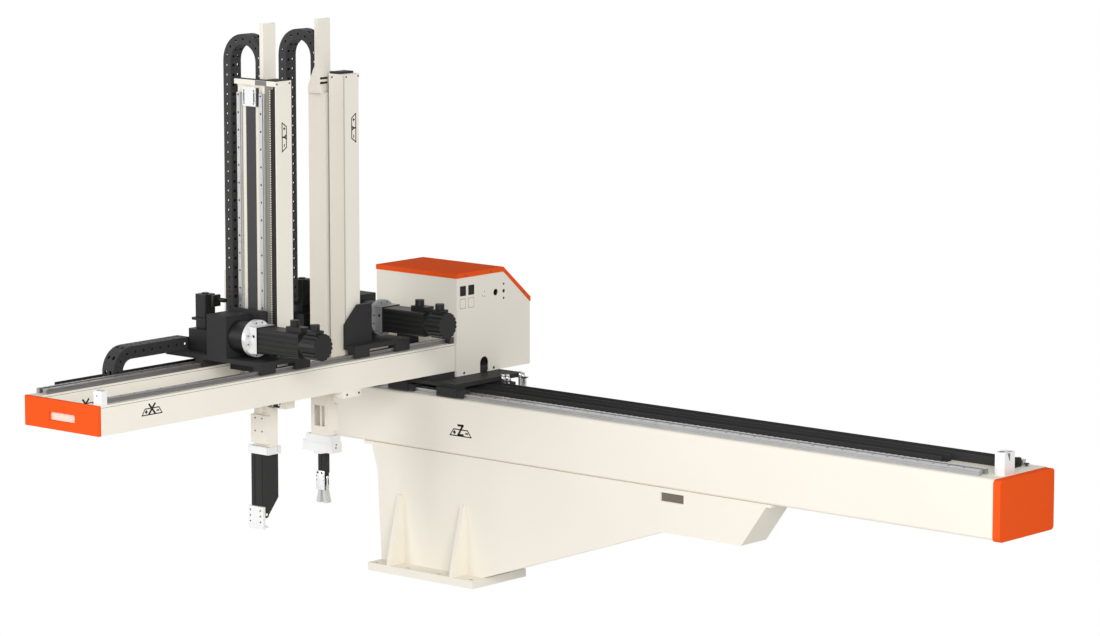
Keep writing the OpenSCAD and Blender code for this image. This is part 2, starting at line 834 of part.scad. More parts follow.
// Upright plate with the four bearing blocks that the arm's rails run in
module guide_bracket() {
    y1 = -guide_gap;
    difference() {
        slab([guide_left, y1 - guide_t, 0], [guide_right, y1, guide_h]);
        slab([-pulley_w / 2 - 5, y1 - guide_t - 1, 30], [pulley_w / 2 + 5, y1 + 1, 110]);
    }
    for (x = [-arm_rail_half, arm_rail_half], z = [6, guide_h - 6 - guide_block.z])
        difference() {
            slab([x - guide_block.x / 2, y1, z],
                [x + guide_block.x / 2, y1 + guide_block.y, z + guide_block.z]);
            slab([x - arm_rail_w / 2 - run_gap, -run_gap, z - 1],
                [x + arm_rail_w / 2 + run_gap, guide_block.y, z + guide_block.z + 1]);
        }
}

// Box round the belt pulley, behind the guide bracket
module drive_housing(axis_y) {
    y0 = axis_y - 61;
    y1 = -guide_gap - guide_t;
    difference() {
        slab([housing_left, y0, 0], [housing_right, y1, housing_h]);
        slab([-pulley_w / 2 - 2, axis_y - pulley_r - 4, motor_axis_h - pulley_r - 4],
            [pulley_w / 2 + 2, y1 + 1, motor_axis_h + pulley_r + 4]);
        bar_x(housing_right - 20, housing_right + 1, axis_y, motor_axis_h, 12 + shaft_gap);
    }
}

module main_guide_bracket() color("dimgray") on_main() guide_bracket();

module main_drive_housing() color("dimgray") on_main() drive_housing(main_axis_y);

module sub_drive_housing() {
    color("dimgray") on_sub() {
        guide_bracket();
        drive_housing(sub_axis_y);
        chain_bracket(45);
        along_x(notch_right, notch_right + 14)
            polygon([[96, 0], [96, 70], [30, 134], [18, 180], [-66, 180], [-72, 0]]);
    }
}

// Gearbox, bright ring, square adapter, ribbed motor, end bell and connectors
module lift_servo(axis_y) {
    x1 = 100.5;
    x2 = 117.5;
    x3 = 153.5;
    x4 = x3 + motor_len;
    x5 = x4 + bell_len;
    z = motor_axis_h;
    color("dimgray") difference() {
        bar_x(housing_right, x1, axis_y, z, gearbox_d / 2);
        bar_x(housing_right - 1, housing_right + 21, axis_y, z, 12 + shaft_gap);
    }
    color("silver") {
        bar_x(x1, x2, axis_y, z, ring_d / 2);
        slab([x2, axis_y - adapter_w / 2, z - adapter_w / 2],
            [x3, axis_y + adapter_w / 2, z + adapter_w / 2]);
    }
    color("dimgray") {
        along_x(x3, x4) difference() {
            translate([axis_y - motor_w / 2, z - motor_w / 2]) round_rect(motor_w, motor_w, 8);
            for (k = [-1.5 : 1.5], s = [-1, 1])
                translate([axis_y + s * motor_w / 2 - 2.5, z + k * 17 - 3]) square([5, 6]);
        }
        along_x(x4, x4 + 16) translate([axis_y, z]) circle(motor_w / 2);
        along_x(x4 + 16, x5) difference() {
            translate([axis_y, z]) circle(motor_w / 2 + 4);
            for (i = [0 : 17]) translate([axis_y, z]) rotate(i * 20)
                translate([motor_w / 2, -2.5]) square([6, 5]);
        }
        slab([x4 - 77, axis_y - 20, z + motor_w / 2 - 2], [x4 - 7, axis_y + 20, z + motor_w / 2 + 17]);
        bar_z(x4 - 54, axis_y, z + motor_w / 2 + 17, z + motor_w / 2 + 38, 16);
        slab([x4 + 19, axis_y - 19, z + motor_w / 2 - 8], [x4 + 61, axis_y + 19, z + motor_w / 2 + 12]);
        bar_z(x4 + 39, axis_y, z + motor_w / 2 + 12, z + motor_w / 2 + 32, 16);
    }
}

module main_lift_servo() on_main() lift_servo(main_axis_y);

module sub_lift_servo() on_sub() lift_servo(sub_axis_y);

module main_lift_pulley() {
    color("silver") on_main() {
        difference() {
            bar_x(-pulley_w / 2, pulley_w / 2, main_axis_y, motor_axis_h, pulley_r);
            for (i = [0 : 19]) translate([0, main_axis_y, motor_axis_h]) rotate([i * 18, 0, 0])
                slab([-pulley_w / 2 + 3, pulley_r - 2, -2], [pulley_w / 2 - 3, pulley_r + 1, 2]);
        }
        bar_x(pulley_w / 2, housing_right + 20, main_axis_y, motor_axis_h, 12);
    }
}

// Upright servo that drives a saddle along the rack, with its gear case
module cross_servo(y) {
    x0 = cross_pinion_x - 33;
    case_top = saddle_top + 77;
    neck_top = case_top + 28;
    flange_top = neck_top + 9;
    body_top = flange_top + 80;
    xm = cross_pinion_x + 4;
    color("dimgray") {
        difference() {
            slab([x0, y - 44, saddle_top], [x0 + 86, y + 44, case_top]);
            bar_z(cross_pinion_x, y, saddle_top - 1, saddle_top + 21, cross_shaft_r + shaft_gap);
        }
        slab([xm - 23, y - 23, case_top], [xm + 23, y + 23, neck_top]);
        slab([xm - 33, y - 33, neck_top], [xm + 33, y + 33, flange_top]);
        translate([xm - 25, y - 25, flange_top]) linear_extrude(body_top - flange_top)
            round_rect(50, 50, 5);
        bar_z(xm, y, body_top, body_top + 4, 12);
    }
}

module main_cross_servo() cross_servo(main_servo_y);

module sub_cross_servo() cross_servo(sub_servo_y);

module main_cross_pinion() {
    color("silver") pinion(cross_pinion_x, main_servo_y, cross_top + 1, cross_pinion_h,
        cross_pinion_r, cross_shaft_r, saddle_top + 20, 10);
}

// Sheet that holds the foot of an arm's cable chain, on the saddle plate
module chain_bracket(depth) {
    x = chain_x - chain_r;
    slab([x - 7, chain_y, 0], [x, chain_y + depth, chain_foot_z + 138]);
    slab([x - 7, chain_y, 0], [notch_left - 4, chain_y + depth, 4]);
}

module main_chain_bracket() color("ivory") on_main() chain_bracket(45);

// Straight leg of an arm's chain from z0 to z1, with its low X side at x
module chain_leg(x, z0, z1) {
    translate([x, chain_y, z0]) rotate([0, 0, 90]) rotate([90, 0, 0])
        chain_run(z1 - z0, chain_w, chain_t);
}

module chain_fixed_leg() chain_leg(chain_x - chain_r, chain_foot_z, chain_z);

module chain_moving_leg() chain_leg(chain_x + chain_r - chain_t, chain_end_z, chain_z);

module arm_chain_bend() {
    translate([chain_x, chain_y + chain_w, chain_z]) rotate([0, 0, -90])
        chain_bend(chain_w, chain_t, chain_r);
}

module main_chain_fixed_leg() color("dimgray") on_main() chain_fixed_leg();

module sub_chain_fixed_leg() color("dimgray") on_sub() chain_fixed_leg();

module main_chain_bend() color("dimgray") on_main() arm_chain_bend();

module sub_chain_bend() color("dimgray") on_sub() arm_chain_bend();

module main_chain_moving_leg() color("dimgray") on_main() chain_moving_leg();

module sub_chain_moving_leg() color("dimgray") on_sub() chain_moving_leg();

// Extrusion of the first stage, with the belt's raised seat and a toothed
// strip's groove in front, and the cheeks that guide the second stage behind
module stage_profile() {
    z1 = stage_top - top_plate_h;
    front = arm_rail_h;
    difference() {
        union() {
            slab([profile_left, front, stage_z], [profile_right, profile_back, z1]);
            slab([-boss_half, front - boss_t, stage_z], [boss_half, front, z1]);
        }
        slab([profile_right - 24, front - 1, stage_z - 1],
            [profile_right - 2, front + strip_dep, z1 + 1]);
    }
    for (z = [stage_z + 5, stage_z + 175], s = [-1, 1])
        slab([s > 0 ? tube_rail_w / 2 + run_gap : -tube_rail_w / 2 - 20, profile_back, z],
            [s > 0 ? tube_rail_w / 2 + 20 : -tube_rail_w / 2 - run_gap, tube_y - 1.5, z + 100]);
}

module stage_rails() {
    for (x = [-arm_rail_half, arm_rail_half])
        translate([x, arm_rail_h, stage_z + 5]) rotate([0, 0, 180])
            linear_extrude(stage_len - 50) rail_section(arm_rail_w, arm_rail_h);
}

// Flat belt on its seat, the toothed strip in its groove and the clamp plate
// over the belt's upper end
module lift_belt() {
    y1 = arm_rail_h - boss_t;
    y0 = y1 - belt_t;
    clamp_top = stage_top - 24;
    color("dimgray") slab([-21, y0, stage_z + 15], [21, y1, clamp_top]);
    color("dimgray") slab([profile_right - 24, arm_rail_h + 3, stage_z + 3],
        [profile_right - 2, arm_rail_h + strip_dep, stage_top - top_plate_h]);
    color("whitesmoke") difference() {
        slab([-32, y0 - 6.5, clamp_top - 66], [30, y0, clamp_top]);
        for (x = [-25, 23]) slab([x - 3, y0 - 8, clamp_top - 53], [x + 3, y0 + 1, clamp_top - 14]);
    }
}

// Folded cover beside the second stage, with the top plate and the foot
module stage_cover() {
    z0 = stage_z + 12;
    z1 = stage_top - top_plate_h;
    slab([cover_right - cover_wall, 3, z0], [cover_right, cover_dep, z1]);
    slab([cover_left, cover_dep - cover_wall, z0], [cover_right, cover_dep, z1]);
    slab([profile_right, 3, z0], [cover_right, profile_back, z1]);
    translate([0, 0, z1]) linear_extrude(top_plate_h)
        polygon([[profile_left - 5, 0], [cover_right, 0], [cover_right, cover_dep],
            [cover_left, cover_dep], [cover_left, profile_back + 4], [profile_left - 5, profile_back + 4]]);
    slab([cover_left, profile_back + run_gap, stage_z - 4],
        [cover_right + 2, cover_dep + 2, stage_z - 4 + cover_foot_h]);
}

module main_stage_profile() color("ivory") on_main() stage_profile();

module main_stage_rails() color("silver") on_main() stage_rails();

module main_lift_belt() on_main() lift_belt();

module main_stage_cover() color("ivory") on_main() stage_cover();

module sub_stage_profile() color("ivory") on_sub() stage_profile();

module sub_stage_rails() {
    on_sub() {
        color("silver") stage_rails();
        lift_belt();
    }
}

module sub_stage_cover() color("ivory") on_sub() stage_cover();

// Second stage: square tube with its rail, nose plate and two tapered necks
module tube(windows) {
    half = tube_w / 2;
    y1 = tube_y + tube_dep;
    w = tube_wall;
    difference() {
        slab([-half, tube_y, tube_z], [half, y1, tube_top]);
        slab([-half + w, tube_y + w, tube_z + w], [half - w, y1 - w, tube_top + 1]);
        if (windows) for (x = [[-24.5, 28], [10.5, 15]])
            slab([x[0], y1 - w - 1, tube_z + 30], [x[0] + x[1], y1 + 1, tube_z + 102]);
    }
    slab([-tube_rail_w / 2, tube_y - tube_rail_h, nose_plate_z + nose_plate.x + 5],
        [tube_rail_w / 2, tube_y, tube_top]);
    slab([-half, tube_y - nose_plate.y, nose_plate_z],
        [half, tube_y, nose_plate_z + nose_plate.x]);
    slab([-half, post_y, tube_top - 40], [half, tube_y, tube_top - 6]);
    slab([-half, y1, tube_top - 40], [half, post_y + post_dep, tube_top - 6]);
    for (y = [post_y, post_y + post_dep - fold_t]) along_y(y, y + fold_t)
        polygon([[-half, tube_top - 6], [half, tube_top - 6], [post_x + post_t, tube_top + 50],
            [post_x, tube_top + 66], [post_x - 37, tube_top + 50]]);
}

// Folded sheet that carries the moving end of the cable chain
module post() {
    y1 = post_y + post_dep;
    difference() {
        union() {
            slab([post_x, post_y, tube_top], [post_x + post_t, y1, tube_top + post_h]);
            for (y = [post_y, y1 - fold_t])
                slab([post_x - 14, y, tube_top + 10], [post_x, y + fold_t, tube_top + post_h]);
        }
        for (z = [28, 44])
            slab([post_x - 1, post_y + 10, tube_top + z], [post_x + post_t + 1, y1 - 8, tube_top + z + 8]);
    }
}

module main_tube() {
    color("ivory") on_main() {
        tube(false);
        post();
    }
}

module sub_tube() {
    color("ivory") on_sub() {
        tube(true);
        post();
    }
}

module main_wrist_clamp() {
    color("whitesmoke") on_main() difference() {
        slab([-clamp_w / 2, clamp_y, wrist_top], [clamp_w / 2, clamp_y + clamp_dep, tube_z]);
        slab([-clamp_w / 2 - 1, clamp_y + 46, wrist_top + 9],
            [clamp_w / 2 + 1, clamp_y + 48, tube_z + 1]);
    }
}

// Wrist housing: a grooved body with a tapering nose round the wrist pin
module main_wrist_housing() {
    low = wrist_top - wrist_h;
    x0 = wrist_x - wrist_w / 2;
    x1 = wrist_x + wrist_w / 2;
    back = wrist_y + wrist_dep;
    color("dimgray") on_main() difference() {
        union() {
            along_x(x0, x1) polygon([[wrist_y, wrist_top], [back, wrist_top], [back, low],
                [wrist_pivot_y + 9, wrist_pivot_z - 6], [wrist_pivot_y - 9, wrist_pivot_z - 6],
                [wrist_y, wrist_pivot_z + 6]]);
            bar_x(x0, x1, wrist_pivot_y, wrist_pivot_z, nose_r);
        }
        for (x = [x0 + 14, x1 - 8])
            slab([x, wrist_y - 1, wrist_pivot_z + 35], [x + 4, wrist_y + 3, wrist_top - 1]);
        slab([wrist_x - lug_slot / 2, wrist_y - 1, wrist_pivot_z - 30],
            [wrist_x + lug_slot / 2, back, wrist_pivot_z + 22]);
        bar_x(x0 - 1, x1 + 1, wrist_pivot_y, wrist_pivot_z, wrist_pin_r + pin_gap);
    }
}

// Tool plate with its six holes, the lug in the nose's slot and the wrist pin
module main_tool_plate() {
    y1 = tool_y + tool_t;
    color("whitesmoke") on_main() difference() {
        union() {
            slab([tool_x - tool_w / 2, tool_y, tool_z],
                [tool_x + tool_w / 2, y1, tool_z + tool_h]);
            along_x(wrist_x - lug_w / 2, wrist_x + lug_w / 2) {
                translate([y1, wrist_pivot_z - 11]) square([wrist_pivot_y - y1, 22]);
                translate([wrist_pivot_y, wrist_pivot_z]) circle(11);
            }
            bar_x(wrist_x - wrist_w / 2 - 1, wrist_x + wrist_w / 2 + 1,
                wrist_pivot_y, wrist_pivot_z, wrist_pin_r);
            slab([8, y1, tool_z + 2], [26, y1 + 22, tool_z + 8]);
        }
        for (i = [-0.5, 0.5], j = [-1 : 1])
            bar_y(tool_hole_mid_x + i * tool_hole_x, tool_y - 1, y1 + 1,
                tool_hole_mid_z + j * tool_hole_z, tool_hole_d / 2);
    }
}

// Stepped blocks under the sub arm's tube
module sub_gripper_mount() {
    z1 = tube_z - mount_h;
    color("whitesmoke") on_sub() {
        slab([-58, 36, z1], [57, 90, tube_z]);
        slab([-82, 30, z1 - lower_mount_h + 6], [57, 80, z1]);
        bar_z(grip_x, grip_y + 15, grip_top, z1 - lower_mount_h + 6, 22);
    }
}

// Cylinder, white side plate, back plate and the two jaw pins
module sub_gripper_body() {
    half = gripper_w / 2;
    mid = grip_top - grip_body_h;
    low = grip_pin_z + 12;
    y0 = grip_y - 15;
    y1 = grip_y + 12;
    color("dimgray") on_sub() {
        difference() {
            slab([grip_x - half, y0, mid], [grip_x + half, y1, grip_top]);
            slab([grip_x + 1, y1 - 3, mid - 1], [grip_x + 4, y1 + 1, grip_top - 4]);
        }
        slab([grip_x - half + 4, y0 + 2, low], [grip_x + half - 4, y1 - 2, mid]);
        slab([grip_x - half + 3, y0, grip_pin_z - 11], [grip_x + half - 3, y0 + 3, mid]);
        for (s = [-1, 1])
            bar_y(grip_x + s * grip_pin_half, y0 + 3, y1, grip_pin_z, grip_pin_r);
    }
    color("whitesmoke") on_sub()
        slab([grip_x - 21, y1, grip_pin_z - 11], [grip_x + 21, y1 + grip_plate_t, mid + 6]);
}

// The jaw on the low X side, about its pin, with the gripper's middle at x = 0
module jaw() {
    translate([-grip_pin_half, 0, grip_pin_z]) rotate([0, jaw_open, 0])
        along_y(grip_y - jaw_dep / 2, grip_y + jaw_dep / 2) difference() {
            union() {
                circle(6.5);
                polygon([[-5, 4], [-6, -4], [-6, -20], [-10, -jaw_len],
                    [7, -jaw_len], [7, -12], [4, 4]]);
            }
            circle(grip_pin_r + pin_gap);
        }
}

module sub_jaw_left() color("beige") on_sub() translate([grip_x, 0, 0]) jaw();

module sub_jaw_right() color("beige") on_sub() translate([grip_x, 0, 0]) mirror([1, 0, 0]) jaw();

base_plate();
pedestal();
pedestal_gussets();
traverse_beam();
traverse_end_caps();
traverse_rails();
traverse_rack();
traverse_cable_trays();
traverse_stops();
carriage_plate();
traverse_blocks();
crosswise_near_beam();
crosswise_far_beam();
crosswise_cross_members();
crosswise_end_cap();
crosswise_rails();
crosswise_racks();
crosswise_stops();
crosswise_chain_tray();
crosswise_chain_bend();
crosswise_chain_lower_run();
cabinet();
cabinet_lid();
traverse_servo();
traverse_pinion();
main_saddle();
main_guide_bracket();
main_drive_housing();
main_lift_servo();
main_cross_servo();
main_cross_pinion();
main_chain_bracket();
main_chain_fixed_leg();
main_chain_upper_run();
main_lift_pulley();
main_stage_profile();
main_stage_rails();
main_lift_belt();
main_stage_cover();
main_chain_bend();
main_tube();
main_chain_moving_leg();
main_wrist_clamp();
main_wrist_housing();
main_tool_plate();
sub_saddle();
sub_drive_housing();
sub_lift_servo();
sub_cross_servo();
sub_chain_fixed_leg();
sub_stage_profile();
sub_stage_rails();
sub_stage_cover();
sub_chain_bend();
sub_tube();
sub_chain_moving_leg();
sub_gripper_mount();
sub_gripper_body();
sub_jaw_left();
sub_jaw_right();
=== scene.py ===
"""Looks of the injection moulding take-out robot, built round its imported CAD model.

Lengths are in metres on the frame's axes: X along the traverse beam, -Y out over the
mould, Z up. Places of small parts were measured on the photograph.
"""
import json
import math

import bmesh
import bpy
from mathutils import Matrix, Vector


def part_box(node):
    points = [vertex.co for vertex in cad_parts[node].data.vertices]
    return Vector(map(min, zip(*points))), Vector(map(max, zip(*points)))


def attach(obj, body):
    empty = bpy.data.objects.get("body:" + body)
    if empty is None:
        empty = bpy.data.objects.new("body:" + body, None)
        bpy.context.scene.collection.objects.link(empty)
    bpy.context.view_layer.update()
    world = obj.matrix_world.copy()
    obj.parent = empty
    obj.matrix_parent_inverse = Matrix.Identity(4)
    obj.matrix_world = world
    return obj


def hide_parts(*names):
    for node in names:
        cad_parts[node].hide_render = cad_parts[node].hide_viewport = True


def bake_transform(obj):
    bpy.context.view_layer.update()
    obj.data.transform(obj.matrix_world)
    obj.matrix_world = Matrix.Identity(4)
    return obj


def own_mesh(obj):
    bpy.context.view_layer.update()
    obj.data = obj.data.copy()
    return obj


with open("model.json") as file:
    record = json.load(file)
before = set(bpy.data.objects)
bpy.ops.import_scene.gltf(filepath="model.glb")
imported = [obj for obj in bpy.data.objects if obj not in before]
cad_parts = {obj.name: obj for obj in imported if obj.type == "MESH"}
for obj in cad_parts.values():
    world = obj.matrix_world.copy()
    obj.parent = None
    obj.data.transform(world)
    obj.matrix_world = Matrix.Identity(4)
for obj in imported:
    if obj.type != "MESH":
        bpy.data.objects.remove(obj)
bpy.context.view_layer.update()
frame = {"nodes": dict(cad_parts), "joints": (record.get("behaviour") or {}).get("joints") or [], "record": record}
NODES = frame["nodes"]
RIGHT, FRONT, UP = (1, 0, 0), (0, -1, 0), (0, 0, 1)
LEFT, BACK, DOWN = (-1, 0, 0), (0, 1, 0), (0, 0, -1)


def middle(box):
    """The middle of a box, as x, y and z."""
    return [(low + high) / 2 for low, high in zip(*box)]


# Camera fitted to the long edges of the photograph
CAMERA_PLACE = (10.080, -11.142, 3.214)
CAMERA_TURN = (math.radians(90 - 8.72), 0, math.radians(40.745))
CAMERA_LENS = 142.27

# Driving places, most of them read from the frame
SADDLE_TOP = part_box("main_saddle")[1].z
BEAM_LOW, BEAM_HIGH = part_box("traverse_beam")
ARM_X = middle(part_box("main_stage_rails"))[0]
TUBE_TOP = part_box("sub_chain_moving_leg")[0].z
TUBE_FACE = -0.420

# How deep an added part is rooted in its face, and how far a flush one stands out
ROOT = 0.002
FLUSH = 0.0002
INLAY = 0.0003


def operator(name, swapped=False):
    """A method that joins a value and another by one kind of sum."""
    def method(self, other):
        parts = (other, self) if swapped else (self, other)
        return self.nodes.add("ShaderNodeMath", {"operation": name}, parts)
    return method


class Value:
    """An output of a node, so that sums on it read as sums."""

    def __init__(self, nodes, socket):
        self.nodes = nodes
        self.socket = socket

    __add__ = __radd__ = operator("ADD")
    __sub__ = operator("SUBTRACT")
    __rsub__ = operator("SUBTRACT", swapped=True)
    __mul__ = __rmul__ = operator("MULTIPLY")
    __truediv__ = operator("DIVIDE")
    __mod__ = operator("FLOORED_MODULO")
    __gt__ = operator("GREATER_THAN")
    __lt__ = operator("LESS_THAN")
    __or__ = operator("MAXIMUM")

    def __abs__(self):
        return self.nodes.add("ShaderNodeMath", {"operation": "ABSOLUTE"}, [self])

    def spread(self, width):
        """This noise centred on zero and scaled to a width."""
        return width * (self - 0.5)


class Nodes:
    """The node tree of a material or of the world."""

    def __init__(self, owner):
        owner.use_nodes = True
        self.tree = owner.node_tree

    def add(self, kind, settings=None, inputs=(), output=0):
        """Adds a node, sets it, feeds its inputs and returns one of its outputs."""
        node = self.tree.nodes.new(kind)
        for key, value in (settings or {}).items():
            setattr(node, key, value)
        pairs = inputs.items() if isinstance(inputs, dict) else enumerate(inputs)
        for key, value in pairs:
            if isinstance(value, Value):
                self.tree.links.new(value.socket, node.inputs[key])
            else:
                node.inputs[key].default_value = value
        return Value(self, node.outputs[output])

    def hide_behind_white(self, shown, white, end):
        """Feeds the end node plain white for what the camera, a gloss or a clear piece sees."""
        camera, gloss, clear = (self.add("ShaderNodeLightPath", output="Is " + kind + " Ray")
                                for kind in ("Camera", "Glossy", "Transmission"))
        shown = Value(self, shown.outputs[0])
        mixed = self.add("ShaderNodeMixShader", inputs={0: camera | gloss | clear, 1: shown, 2: white})
        self.tree.links.new(mixed.socket, self.tree.nodes[end].inputs["Surface"])


class Shader(Nodes):
    """A material's nodes round one Principled shader."""

    def __init__(self, name, **fixed):
        self.material = bpy.data.materials.new(name)
        super().__init__(self.material)
        self.surface = self.tree.nodes["Principled BSDF"]
        for socket, value in fixed.items():
            self.surface.inputs[socket.replace("_", " ")].default_value = value
        self.place = self.add("ShaderNodeTexCoord", output="Object")
        self.x, self.y, self.z = (self.add("ShaderNodeSeparateXYZ", inputs=[self.place], output=axis)
                                  for axis in range(3))

    def noise(self, scale, detail=2.0, stretch=(1, 1, 1)):
        place = self.add("ShaderNodeMapping", inputs={"Vector": self.place, "Scale": stretch})
        return self.add("ShaderNodeTexNoise", inputs={"Vector": place, "Scale": scale, "Detail": detail})

    def mix(self, share, low, high):
        settings = {"data_type": "RGBA"}
        return self.add("ShaderNodeMix", settings, {0: share, 6: low, 7: high}, output=2)

    def tint(self, colour, scale, dark, light):
        """A colour that drifts between a darker and a lighter shade, and the noise it follows."""
        cloud = self.noise(scale)
        return self.mix(cloud, shade(colour, dark), shade(colour, light)), cloud

    def span(self, value, low, high):
        """1 where value lies between low and high, with an edge 0.4 mm soft."""
        inside = (high - low) / 2 - abs(value - (low + high) / 2)
        settings = {"operation": "DIVIDE", "use_clamp": True}
        return self.add("ShaderNodeMath", settings, [inside, 0.0004])

    def feed(self, socket, value):
        self.tree.links.new(value.socket, self.surface.inputs[socket])

    def dress(self, colour, roughness, height=None, strength=0.2, distance=0.0002):
        """Feeds the colour, the roughness and a bump where there is one, and returns the material."""
        self.feed("Base Color", colour)
        self.feed("Roughness", roughness)
        if height:
            settings = {"Height": height, "Strength": strength, "Distance": distance}
            self.feed("Normal", self.add("ShaderNodeBump", inputs=settings))
        return self.material


def shade(colour, factor):
    return (colour[0] * factor, colour[1] * factor, colour[2] * factor, 1)


CREAM = (0.90, 0.855, 0.755)
ORANGE = (0.90, 0.108, 0.018)
CHARCOAL = (0.040, 0.040, 0.040)
SERVO = (0.013, 0.013, 0.013)
PLASTIC = (0.043, 0.043, 0.043)
BELT = (0.054, 0.052, 0.053)
TOOTH_STRIP = (0.024, 0.019, 0.017)
# Painted shade of the first stages' channel, over the somewhat darker coat it has there
SHADED_RECESS = (0.27, 0.26, 0.215)
BRIGHT = (0.86, 0.86, 0.86)
INK = (0.012, 0.011, 0.009)

# Noise scales: drift of a paint's colour, and the fine grain of each surface
PAINT_DRIFT = 2.6
PAINT_PEEL = 900
ENAMEL_PEEL = 800
TURNED_RINGS = 300
GRINDING = 1400
BLASTING = 1600
MOULD_SKIN = 700
SCRATCH_STRETCH = 0.015

# Offsets along X from the arms' middle, and the belt's own sizes
CHANNEL = (0.0605, 0.0945)
BARE_METAL = (0.1005, 0.1535)
CLAMP_HALF = 0.036
RAIL_FROM, RAIL_TO = 0.040, 0.064
STRIP_FROM, TOOTH_TO = 0.090, 0.0968
TOOTH_PITCH = 0.0104
BELT_RIB = 0.005
CLAMP_FROM = SADDLE_TOP + 0.840


def powder_coat(name, colour, roughness, sheen=0.05):
    """Sprayed coat: faint cloudiness in its colour, fine orange peel in its gloss."""
    coat = Shader(name, Specular_IOR_Level=sheen)
    tinted, cloud = coat.tint(colour, PAINT_DRIFT, 0.965, 1.02)
    peel = coat.noise(PAINT_PEEL)
    return coat.dress(tinted, roughness + peel.spread(0.10) + cloud.spread(0.08), peel, 0.22)


def stage_profile_coat(name):
    """Powder coat of a first stage, with painted shade over a darker coat in the channel between its rail and its
    toothed strip.
    """
    coat = Shader(name, Specular_IOR_Level=0.16)
    pale = coat.tint(CREAM, PAINT_DRIFT, 0.95, 1.0)[0]
    channel = coat.span(coat.x, ARM_X + CHANNEL[0], ARM_X + CHANNEL[1])
    # The channel is painted in shade, partly its own darker coat
    colour = coat.mix(channel, pale, shade(SHADED_RECESS, 1))
    peel = coat.noise(PAINT_PEEL)
    return coat.dress(colour, 0.46 + peel.spread(0.10), peel)


def ground_steel(name, colour, along, roughness=0.3, metallic=0.75):
    """Ground metal with fine scratches along one axis."""
    metal = Shader(name, Metallic=metallic)
    stretch = tuple(SCRATCH_STRETCH if i == along else 1 for i in range(3))
    scratch = metal.noise(GRINDING, stretch=stretch)
    tinted, cloud = metal.tint(colour, 9, 0.9, 1.05)
    roughness = roughness + scratch.spread(0.16) + cloud.spread(0.1)
    return metal.dress(tinted, roughness, scratch, 0.12, 0.0001)


def blasted_aluminium(name, colour, roughness=0.42, black_from=None):
    """Bead-blasted aluminium with a fine even grain, blackened from a place along Y if one is given."""
    metal = Shader(name, Metallic=0.25)
    tinted = metal.tint(colour, 14, 0.95, 1.04)[0]
    if black_from is not None:
        tinted = metal.mix(metal.y > black_from, tinted, shade(CHARCOAL, 1))
    grain = metal.noise(BLASTING)
    return metal.dress(tinted, roughness + grain.spread(0.12), grain, 0.18, 0.0001)


def moulded_plastic(name, colour, roughness=0.55):
    """Moulded black plastic with a slight skin."""
    plastic = Shader(name, Specular_IOR_Level=0.16)
    skin = plastic.noise(MOULD_SKIN, 3.0)
    return plastic.dress(plastic.tint(colour, 20, 0.88, 1.2)[0], roughness + skin.spread(0.14), skin)


def servo_enamel(name, painted_shade_factor):
    """Black enamel of a lift servo, bare metal on its ring and square adapter, that metal darkened by a factor
    that paints shade on it.
    """
    coat = Shader(name, Specular_IOR_Level=0.22)
    bare = coat.span(coat.x, ARM_X + BARE_METAL[0], ARM_X + BARE_METAL[1])
    peel = coat.noise(ENAMEL_PEEL)
    turned = coat.noise(TURNED_RINGS, 3.0, (1, 0.3, 0.3))
    black = coat.tint(SERVO, 12, 0.85, 1.3)[0]
    # The bare metal is scaled by the painted shade factor: below 1 it paints shade
    metal = coat.mix(turned, shade(BRIGHT, 0.72 * painted_shade_factor), shade(BRIGHT, 1.06 * painted_shade_factor))
    coat.feed("Metallic", bare * 0.35)
    return coat.dress(coat.mix(bare, black, metal), 0.42 - 0.10 * bare + peel.spread(0.12), peel, 0.15)


def belt_and_clamp(name, has_rails):
    """Black belt ribbed across, its toothed strip, the bright clamp plate and ground rails."""
    rubber = Shader(name, Specular_IOR_Level=0.25)
    off_middle = abs(rubber.x - ARM_X)
    clamp = (rubber.z > CLAMP_FROM) * (off_middle < CLAMP_HALF)
    rail = (off_middle > RAIL_FROM) * (off_middle < RAIL_TO) * has_rails
    strip = rubber.x > ARM_X + STRIP_FROM
    tooth = strip * (rubber.x < ARM_X + TOOTH_TO) * ((rubber.z / TOOTH_PITCH) % 1.0 > 0.5)
    ribs = abs((rubber.z / BELT_RIB) % 1.0 - 0.5)
    belt, cloud = rubber.tint(BELT, 30, 0.85, 1.15)
    plate = rubber.mix(cloud, shade(BRIGHT, 0.95), shade(BRIGHT, 1.05))
    ground = rubber.mix(cloud, shade(BRIGHT, 0.50), shade(BRIGHT, 0.58))
    colour = rubber.mix(strip, belt, shade(TOOTH_STRIP, 1))
    colour = rubber.mix(tooth, colour, shade(CREAM, 0.85))
    colour = rubber.mix(rail, colour, ground)
    colour = rubber.mix(clamp, colour, plate)
    rubber.feed("Metallic", rail * 0.6)
    roughness = 0.6 - 0.2 * clamp - 0.2 * rail + cloud.spread(0.1)
    return rubber.dress(colour, roughness, ribs * (1 - clamp) * (1 - rail), 0.5, 0.001)


def printed_ink(name):
    """Flat black marking ink, slightly uneven."""
    ink = Shader(name, Specular_IOR_Level=0.2)
    tinted, cloud = ink.tint(INK, 160, 0.8, 1.6)
    return ink.dress(tinted, 0.6 + cloud.spread(0.1))


def black_oxide_and_shade(name, colour):
    """Blackened steel of screws, and the painted shade of sunk holes and slots."""
    steel = Shader(name, Metallic=0.3, Specular_IOR_Level=0.3)
    tinted, cloud = steel.tint(colour, 240, 0.7, 1.5)
    return steel.dress(tinted, 0.5 + cloud.spread(0.16))


